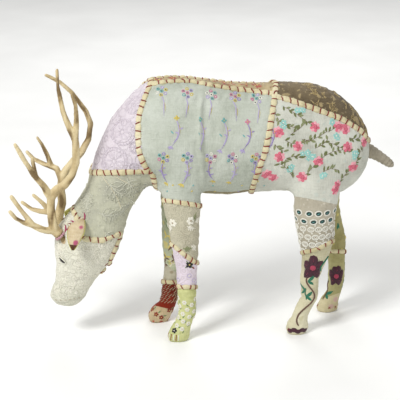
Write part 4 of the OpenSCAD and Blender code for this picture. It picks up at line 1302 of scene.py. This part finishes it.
def eyelets():
    """Rows of eyelets round the thigh: large dark ones above and white rings below."""
    piles = Piles()
    for row in range(7):
        height = 168 + 17 * row
        big = row >= 5
        count = 11 if big else 13
        for k in range(count):
            angle = 360 * (k + 0.5 * (row % 2)) / count
            spot = leg_spot("hl", height, angle)
            if not lies_on(spot, HL_THIGH):
                continue
            if big:
                ring(piles["white"], spot, 0, 0, 7.2, 2.8, 1.3, 0.78)
                dome(piles["hole"], spot, 0, 0, 6.2, 0.15, 12, 0.78)
                leaf(piles["teal"], spot, -3, -1.5, 6, 2, 0.4, 0.35)
            else:
                ring(piles["white"], spot, 0, 0, 6.6, 2.8, 1.4, 0.78)
                ring(piles["white"], spot, 0, 0, 3.4, 1.6, 1.0, 0.78)
                dome(piles["white"], spot, 8.5, 8.5, 2.2, 0.8, 8)
                dome(piles["sand"], spot, 0, 0, 1.5, 0.3, 7, 0.78)
    piles.make("thigh_eyelets", "leg_prints")


def big_flower(piles, spot, size):
    turn = 0.3
    blossom(piles, spot, 0, 0, size, "plum", "rose_dark", 5, 1.1, turn, hollow="black")
    for k in range(5):
        angle = turn + 2 * pi * k / 5
        at_u, at_v = size * 0.58 * cos(angle), size * 0.58 * sin(angle)
        stroke(piles["rose_dark"], spot, [(at_u * 0.8, at_v * 0.8), (at_u * 1.25, at_v * 1.25)], 0.9, 1.3)
    for k in range(5):
        angle = turn + 2 * pi * (k + 0.5) / 5
        stroke(piles["black"], spot, [(size * 0.35 * cos(angle), size * 0.35 * sin(angle)),
                                      (size * 0.8 * cos(angle), size * 0.8 * sin(angle))], 1.0, 1.0)


def winding(piles, leg, start, end, angle, sway, colour, width=1.8, leaves=None, count=7):
    """A stem that winds up a leg, with leaves at its bends."""
    path = []
    for k in range(5 * count + 1):
        spot = leg_spot(leg, start + (end - start) * k / (5 * count), angle + sway * sin(k * 0.23))
        # A jump means that the ray met another leg
        if spot.found and (not path or (spot.centre - path[-1]).length < 12 * MM):
            path.append(spot.centre + spot.normal * (0.4 * MM))
    if len(path) > 3:
        piles[colour].tube(path, width / 2 * MM)
    for k in range(count if leaves else 0):
        spot = leg_spot(leg, start + (end - start) * (k + 0.5) / count, angle + sway * sin((k + 0.5) * 1.15))
        if spot.found:
            leaf(piles[leaves], spot, 0, 0, 20, 9, radians(40 + 100 * (k % 2)), 0.8)
            leaf(piles[leaves], spot, 0, 0, 15, 7, radians(-30 + 240 * (k % 2)), 0.8)


def leg_prints():
    piles = Piles()
    draw = random.Random(110)
    # Hind legs: plum flowers on winding stems, and a plum toe
    for leg, height, angle in (("hl", 150, 14), ("hl", 128, 180), ("hr", 84, 12), ("hr", 92, 190)):
        spot = leg_spot(leg, height, angle)
        if spot.found:
            big_flower(piles, spot, 29 if leg == "hl" else 25)
    for angle in (5, 185):
        winding(piles, "hl", 22, 128, angle, 30, "brown", 3.4)
        winding(piles, "hl", 78, 104, angle + 25, 12, "bottle", 2.6, "bottle", 2)
        winding(piles, "hl", 140, 172, angle - 50, 14, "bottle", 4.0, None, 4)
        winding(piles, "hr", 112, 160, angle + 20, 22, "bottle", 3.4, "bottle", 3)
        winding(piles, "hr", 28, 70, angle + 60, 18, "brown", 2.6, "bottle", 2)
    for k in range(5):
        spot = leg_spot("hl", 9 + 3 * (k % 2), 62 - 28 * k)
        if spot.found:
            dome(piles["plum"], spot, 0, 0, 7.5, 0.5, 10, 0.8)
    for k in range(8):
        spot = leg_spot("hr", 12, 45 * k)
        if spot.found:
            for turn in (0.8, -0.8):
                c, s = cos(turn), sin(turn)
                stroke(piles["red"], spot, [(-3.4 * c, -3.4 * s), (3.4 * c, 3.4 * s)], 1.3, 0.8, taper=False)
    # Front left leg: cream sprays above, a dark flower at the seam, daisies below
    for k in range(30):
        height, angle = draw.uniform(150, 268), draw.uniform(0, 360)
        spot = leg_spot("fl", height, angle)
        if not lies_on(spot, FL_UPPER):
            continue
        if k % 3 == 0:
            blossom(piles, spot, 0, 0, 9, "lace_thread", "sand", 6, 1.2)
        else:
            frond(piles["lace_thread" if k % 2 else "olive_pale"], spot, 0, 0, 22, draw.uniform(0, 6.28), 3,
                  8, 1.0)
    for angle in (-12, 100, 215):
        spot = leg_spot("fl", 172, angle)
        if spot.found:
            blossom(piles, spot, 0, 0, 8, "black", "yellow", 5, 0.9)
            for k in range(4):
                leaf(piles["green"], spot, 0, 0, 12, 4, 0.6 + 1.6 * k, 0.6)
            leaf(piles["red"], spot, 6, -6, 9, 4, -0.7, 0.7)
    for k in range(34):
        height, angle = 30 + 2.0 * k, 137.5 * k
        spot = leg_spot("fl", height, angle)
        if lies_on(spot, FL_LOWER):
            blossom(piles, spot, 0, 0, 5.2, "white", "yellow", 6, 0.7)
            leaf(piles["green"], spot, 4, -4, 7, 3, draw.uniform(0, 6), 0.4)
    for k in range(11):
        spot = leg_spot("fl", 10, 10 + 16 * k)
        if spot.found:
            stroke(piles["red" if k % 2 else "white"], spot, [(0, -6), (0.8, 8)], 2.4, 0.6, taper=False)
    spot = leg_spot("fl", 26, 50)
    if spot.found:
        blossom(piles, spot, 0, 0, 6.5, "black", "white", 5, 0.9)
    # Front right leg: yellow and green sprays above, dashes on the dark red, red flowers on the hoof
    for k in range(36):
        height, angle = draw.uniform(130, 262), draw.uniform(0, 360)
        spot = leg_spot("fr", height, angle)
        if not lies_on(spot, FR_UPPER, FR_KNEE):
            continue
        shade = draw.choice(["yellow", "green", "cream", "brown"])
        for j in range(3):
            leaf(piles[shade], spot, 0, 0, draw.uniform(8, 14), 4.5, 2.1 * j + draw.uniform(-0.5, 0.5), 0.5)
    for k in range(9):
        for j in range(14):
            spot = leg_spot("fr", 48 + 7.2 * k, 360 / 14 * (j + 0.5 * (k % 2)))
            if lies_on(spot, FR_LOWER):
                stroke(piles["sand"], spot, [(-4.2, -3.4), (4.2, 3.4)], 1.5, 1.1)
    for k in range(9):
        spot = leg_spot("fr", 14 + 7 * (k % 3), 40 * k)
        if spot.found:
            blossom(piles, spot, 0, 0, 5.5, "red", "yellow", 5, 0.6)
            leaf(piles["green"], spot, 4, 3, 8, 3.5, 0.8 * k, 0.5)
    # Lilac knee band: small stitched rounds
    for k in range(12):
        spot = leg_spot("fl", 112 + 12 * (k % 4), 32 * k)
        if lies_on(spot, FL_KNEE):
            ring(piles["lavender"], spot, 0, 0, 4.5, 1.0, 0.7)
            ring(piles["white"], spot, 0, 0, 2.2, 0.9, 0.7)
    # Far hind leg above its seam: leaves and pale flowers
    for k in range(26):
        height, angle = draw.uniform(150, 262), draw.uniform(0, 360)
        spot = leg_spot("hr", height, angle)
        if not lies_on(spot, HR_THIGH):
            continue
        if k % 2:
            blossom(piles, spot, 0, 0, 6.5, "yellow", "brown", 5, 0.6)
        leaf(piles["bottle"], spot, 5, 0, 14, 6, draw.uniform(0, 6), 0.7)
    piles.make("leg_figures", "leg_prints")


for side_sign, side_name in SIDES.items():
    flank_embroidery(side_sign, side_name)
    haunch_print(side_sign, side_name)
    neck_relief(side_sign, side_name)
    face_lace(side_sign, side_name)
back_prints()
eyelets()
leg_prints()


# ---- Antlers ----

def antler_mesh(node, seed):
    """The CAD antler smoothed into bone, with long grooves and knots, and how high each point stands."""
    verts, tris = remeshed([node], 1.5 * MM)
    edges = edges_of(tris)
    for _ in range(8):
        verts = verts + 0.6 * (neighbour_mean(verts, edges, len(verts)) - verts)
    n = len(verts)
    up = normals_of(verts, tris)
    # The way along the branch is the one that the normals nearby lean towards least
    spread = (up[:, :, None] * up[:, None, :]).reshape(n, 9)
    for _ in range(14):
        spread = neighbour_mean(spread, edges, n)
    along = np.linalg.eigh(spread.reshape(n, 3, 3))[1][:, :, 0]
    # Random heights, drawn out along the branch into grooves
    span = verts[edges[:, 1]] - verts[edges[:, 0]]
    span /= np.maximum(np.linalg.norm(span, axis=1), 1e-12)[:, None]
    weight = np.abs((span * along[edges[:, 0]]).sum(axis=1)) ** 8 + 0.004
    total = np.bincount(edges[:, 0], weight, n) + np.bincount(edges[:, 1], weight, n)
    grooves = fractal(verts, 0.0035, 1, seed + 1)
    for _ in range(90):
        grooves = 0.3 * grooves + 0.7 * (np.bincount(edges[:, 0], weight * grooves[edges[:, 1]], n)
                                         + np.bincount(edges[:, 1], weight * grooves[edges[:, 0]], n)) / total
    grooves = np.clip((grooves - grooves.mean()) / grooves.std(), -2.2, 2.2)
    knots = fractal(verts, 0.030, 2, seed)
    fine = fractal(verts, 0.004, 2, seed + 2)
    lift = 1.2 + 0.5 * knots + 0.42 * grooves + 0.12 * fine
    return verts + (lift * MM)[:, None] * up, tris, grooves


def antler_material(name, base, light, dark):
    n = Nodes(name, roughness=0.6, sheen=0.0, specular=0.35)
    drawn = n.add("Attribute").outputs["Fac"]
    drawn.node.attribute_name = "groove"
    cloudy = n.noise(70, 4.0, 0.6)
    fine = n.noise(420, 3.0)
    long = n.maths("ADD", n.maths("MULTIPLY", drawn, 0.13),
                   n.maths("ADD", n.maths("MULTIPLY", cloudy, 0.4), 0.3))
    colour = n.ramp(long, [(0.28, dark), (0.45, base), (0.68, light)])
    pores = n.cells(500)
    colour = n.mix(n.maths("MULTIPLY", n.maths("SUBTRACT", 0.35, pores, clamp=True), 1.0), colour, dark)
    height = n.maths("ADD", n.maths("MULTIPLY", long, 0.8), n.maths("MULTIPLY", fine, 0.3))
    rough = n.maths("ADD", n.maths("MULTIPLY", long, 0.3), 0.42)
    return n.finish(colour, height, 0.6 * MM, rough)


BONE = antler_material("antler_bone", "#B6A278", "#D3C39B", "#75603E")
for antler_side, antler_seed in (("left", 3.0), ("right", 8.0)):
    node = antler_side + "_antler"
    piece_verts, piece_tris, piece_grooves = antler_mesh(node, antler_seed)
    piece = new_object(antler_side + "_antler_bone", piece_verts, piece_tris)
    piece.data.attributes.new("groove", "FLOAT", "POINT").data.foreach_set("value",
                                                                           piece_grooves.astype(np.float32))
    finish_piece(piece, BONE, node, [node])


def add_cuff(side):
    """A rolled scrap of cloth sewn round the mouth of the ferrule."""
    name = SIDES[side]
    ferrule, _ = arrays(frame["nodes"][name + "_ferrule"].data)
    axis = np.array([-sin(ANTLER_TILT), 0, cos(ANTLER_TILT)])
    height = ferrule @ axis
    middle = ferrule[height > height.max() - 0.5 * MM].mean(axis=0)
    a = np.array([axis[2], 0, -axis[0]])
    b = np.array([0.0, 1.0, 0.0])
    sections, around, core = 72, 12, 9.6
    verts = []
    for i in range(sections):
        turn = 2 * pi * i / sections
        thick = 3.0 + 0.5 * sin(9 * turn) + 0.3 * sin(17 * turn + 1)
        out = a * cos(turn) + b * sin(turn)
        for j in range(around):
            angle = 2 * pi * j / around
            verts.append(middle + (out * (core + thick * cos(angle)) + axis * (thick * 0.8 * sin(angle) - 2.2)) * MM)
    cuff = Pile()
    cuff.add(verts, quads(sections, around, closed=True))
    cuff.make(name + "_antler_cuff", CLOTHS["magenta"], "ear_fabric")


for side_sign in SIDES:
    add_cuff(side_sign)


# ---- Eyes, ears and tail ----

def add_eye(side):
    """A dark glass bead in a rolled fabric lid."""
    name = SIDES[side]
    low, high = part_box(name + "_eye")
    centre = (Vector(low) + Vector(high)) / 2
    radius = (high[0] - low[0]) / 2
    hit = skin_tree.find_nearest(centre, 0.03)
    up = hit[1]
    along = Vector((-0.95, 0, 0.30))
    along = (along - up * along.dot(up)).normalized()
    across = up.cross(along)
    ball = Pile()
    rings, sides = 14, 28
    verts = []
    middle = hit[0] - up * radius * 0.15
    for i in range(rings + 1):
        theta = pi * i / rings
        for k in range(sides):
            phi = 2 * pi * k / sides
            verts.append(middle + up * radius * cos(theta)
                         + (along * cos(phi) * 1.35 + across * sin(phi) * 0.75) * radius * sin(theta))
    ball.add(verts, quads(rings + 1, sides))
    ball.make(name + "_eye_glass", EYE_GLASS, "eye_glass", replaced=[name + "_eye"])
    lids = Pile()
    for part in (1, -1):
        row = []
        for k in range(17):
            phi = pi * (0.02 + 0.96 * k / 16) * part
            reach = radius * 1.3
            flat = along * cos(phi) * reach * 1.3 + across * sin(phi) * reach * 0.72
            base, base_up = on_skin(middle + flat + up * radius * 0.3)
            row.append(base + base_up * (0.6 + 0.9 * abs(sin(phi))) * MM)
        lids.tube(row, 1.5 * MM, 8)
    lids.make(name + "_eye_lids", CLOTHS["face"], "lace")


def glass(name, colour):
    n = Nodes(name, roughness=0.12, specular=0.6)
    tone = n.ramp(n.noise(220, 2.0), [(0.35, colour), (0.75, "#2A1A10")])
    return n.finish(tone, n.noise(90, 1.0), 0.02 * MM)


EYE_GLASS = glass("eye_glass", "#0E0A08")
for side_sign in SIDES:
    add_eye(side_sign)


def add_ear(side):
    """A cupped leaf: printed cloth outside, plain lining inside, a rolled rim and a dark tip."""
    name = SIDES[side]
    spine = [(-240, 33, 265), (-244, 41, 266), (-248, 52, 262), (-252, 62, 253), (-256, 70, 242),
             (-258, 76, 230), (-259.5, 79, 220)]
    widths = [7, 11, 15, 16, 13, 8, 1.5]
    count, across = 33, 13
    path = np.array([[x - MIDDLE_X, y * side, z] for x, y, z in spine]) * MM
    at = np.linspace(0, len(path) - 1, count)
    middle = np.stack([np.interp(at, range(len(path)), path[:, k]) for k in range(3)], axis=1)
    middle = eased(middle, 12)
    half = np.interp(at, range(len(path)), widths) * MM
    wide = Vector((1, 0, 0.25)).normalized()
    outer, inner = [], []
    for i in range(count):
        way = Vector(heading(middle, i)).normalized()
        thick = way.cross(wide).normalized()
        if thick.z < 0:
            thick = -thick
        flat = thick.cross(way).normalized()
        if flat.x < 0:
            flat = -flat
        cup = 4.2 * MM * sin(pi * (0.15 + 0.8 * i / count))
        for k in range(across):
            t = -1 + 2 * k / (across - 1)
            wave = 0.7 * MM * sin(i * 0.55 + 3 * t)
            p = Vector(middle[i]) + flat * half[i] * t - thick * (cup * t * t - cup * 0.4) + thick * wave * abs(t)
            outer.append(p + thick * 0.9 * MM)
            inner.append(p - thick * 0.9 * MM)
    tip = int(count * 0.84)
    for part, rows, flip, material in (
            ("outside", outer[:(tip + 1) * across], False, "ear"), ("lining", inner, True, "ear_lining"),
            ("tip", outer[tip * across:], False, "ear_tip")):
        faces = quads(len(rows) // across, across, around=False, flip=flip)
        obj = new_object("%s_ear_%s" % (name, part), rows, faces)
        solid = obj.modifiers.new("thickness", "SOLIDIFY")
        solid.thickness = 0.7 * MM
        solid.offset = 0
        finish_piece(obj, CLOTHS[material],
                     replaced=[name + "_ear"] if part == "outside" else [])
    rim = Pile()
    for edge in (0, across - 1):
        row = [(outer[i * across + edge] + inner[i * across + edge]) / 2 for i in range(count)]
        rim.tube(row, 1.3 * MM, 7)
    rim.make(name + "_ear_rim", CLOTHS["ear_lining"], "ear_fabric")
    # Scraps of magenta and cream gathered between the ear and the antler
    draw = random.Random(130 + side)
    scraps = {"magenta": Pile(), "cream": Pile(), "red": Pile()}
    for k in range(11):
        share = k / 10
        hit = body_spot(-270 + 38 * share, 236 + 20 * share + 4 * sin(k * 2.1), side)
        if not hit.found:
            continue
        turn = draw.uniform(0, 3.1)
        shade = ("magenta", "cream", "magenta", "red")[k % 4]
        stroke(scraps[shade], hit, [(-7 * cos(turn), -7 * sin(turn)), (2 * sin(turn), 2),
                                    (7 * cos(turn), 7 * sin(turn))], 3.4, 2.6)
    for shade, pile in scraps.items():
        pile.make("%s_ear_scrap_%s" % (name, shade), THREADS[shade], "ear_fabric")


for side_sign in SIDES:
    add_ear(side_sign)


def add_tail():
    """A strip of cloth wound in a spiral round the tail."""
    line = [(334, 373), (345, 369), (358, 362), (372, 352.5), (384, 344), (391, 338.5), (395, 335)]
    radii = [15.5, 13.5, 11.2, 9.8, 8.8, 6.8, 2.6]
    count, sides = 90, 28
    at = np.linspace(0, len(line) - 1, count)
    x = np.interp(at, range(len(line)), [p[0] for p in line])
    z = np.interp(at, range(len(line)), [p[1] for p in line])
    r = np.interp(at, range(len(line)), radii)
    middle = eased(np.stack([(x - MIDDLE_X) * MM, np.zeros(count), z * MM], axis=1), 30)
    verts = []
    for i in range(count):
        way = Vector(heading(middle, i)).normalized()
        side = Vector((0, 1, 0))
        up = side.cross(way)
        if up.z < 0:
            up = -up
        for k in range(sides):
            angle = 2 * pi * k / sides
            wind = (i / count * 9 + angle / (2 * pi)) % 1
            ridge = 2.0 * (wind ** 0.6) * (1 - smooth_step(0.93, 1, wind))
            radius = (r[i] - 1.0 + ridge * min(1, r[i] / 8)) * MM
            verts.append(Vector(middle[i]) + (side * cos(angle) * 1.1 + up * sin(angle)) * radius)
    faces = quads(count, sides)
    faces.append(tuple((count - 1) * sides + k for k in range(sides)))
    faces.append(tuple(range(sides - 1, -1, -1)))
    finish_piece(new_object("tail_cloth", verts, faces), CLOTHS["tail"],
                 replaced=["tail_wrap"])


add_tail()


# ---- Pieces that stay as the frame has them ----

def metal(name, base, light, dark, roughness=0.4):
    n = Nodes(name, roughness=roughness, metallic=1.0, specular=0.5)
    brushed = n.noise(120, 5.0, 0.6)
    scratches = n.noise(900, 2.0)
    colour = n.ramp(brushed, [(0.3, dark), (0.5, base), (0.75, light)])
    rough = n.maths("ADD", n.maths("MULTIPLY", brushed, 0.3), roughness - 0.12)
    return n.finish(colour, scratches, 0.03 * MM, rough)


def paper_core(name):
    n = Nodes(name, roughness=0.95, specular=0.1)
    layers = n.cells(60)
    colour = n.ramp(n.maths("ADD", n.maths("MULTIPLY", layers, 0.6),
                            n.maths("MULTIPLY", n.noise(25, 5.0), 0.5)),
                    [(0.2, "#7F6B50"), (0.5, "#A38D6C"), (0.8, "#BBA685")])
    return n.finish(colour, n.maths("ADD", layers, n.noise(300, 3.0)), 0.5 * MM)


def wood(name):
    n = Nodes(name, roughness=0.6, specular=0.3)
    grain = n.wave(260, "Z", 6.0, 1.5)
    colour = n.ramp(grain, [(0.2, "#8A6238"), (0.6, "#B08654"), (0.95, "#C9A06C")])
    return n.finish(colour, grain, 0.1 * MM)


PLAIN = {"core": paper_core("paper_core"), "steel": metal("black_steel", "#6E7276", "#9DA1A5", "#3E4144"),
         "brass": metal("brass", "#8E7B57", "#AF9C78", "#5A4B30", 0.45), "peg_wood": wood("peg_wood")}
slot_of = {row["node"]: row["material_slot"] for row in frame["record"]["subparts"]}
for node_name, node_object in frame["nodes"].items():
    if slot_of[node_name] in PLAIN:
        node_object.data.materials.clear()
        node_object.data.materials.append(PLAIN[slot_of[node_name]])


# ---- Stage: floor, lights and camera ----

FLOOR_HALF = 30
LIT_POINT = Vector((0, 0, 0.28))


def add_floor():
    corners = [(x * FLOOR_HALF, y * FLOOR_HALF, 0) for x, y in ((-1, -1), (1, -1), (1, 1), (-1, 1))]
    floor = new_object("floor", corners, [(0, 1, 2, 3)], False)
    n = Nodes("floor", roughness=0.85, specular=0.1)
    floor.data.materials.append(n.finish(n.ramp(n.noise(3, 2.0), [(0.3, "#EDEDEB"), (0.7, "#F4F4F2")])))


def add_light(name, place, size, power):
    data = bpy.data.lights.new(name, "AREA")
    data.size = size
    data.energy = power
    lamp = bpy.data.objects.new(name, data)
    bpy.context.collection.objects.link(lamp)
    lamp.location = place
    lamp.rotation_euler = (Vector(place) - LIT_POINT).to_track_quat("Z", "Y").to_euler()


add_floor()
add_light("key", (-1.9, -1.7, 2.7), 0.9, 88)
add_light("fill", (2.4, -1.8, 1.4), 2.2, 14)
add_light("back", (0.6, 2.4, 2.4), 2.0, 36)
world = bpy.data.worlds.new("studio")
world.use_nodes = True
world.node_tree.nodes["Background"].inputs["Color"].default_value = (1, 1, 1, 1)
world.node_tree.nodes["Background"].inputs["Strength"].default_value = 0.55
bpy.context.scene.world = world
bpy.context.scene.view_settings.view_transform = "Standard"
add_camera()
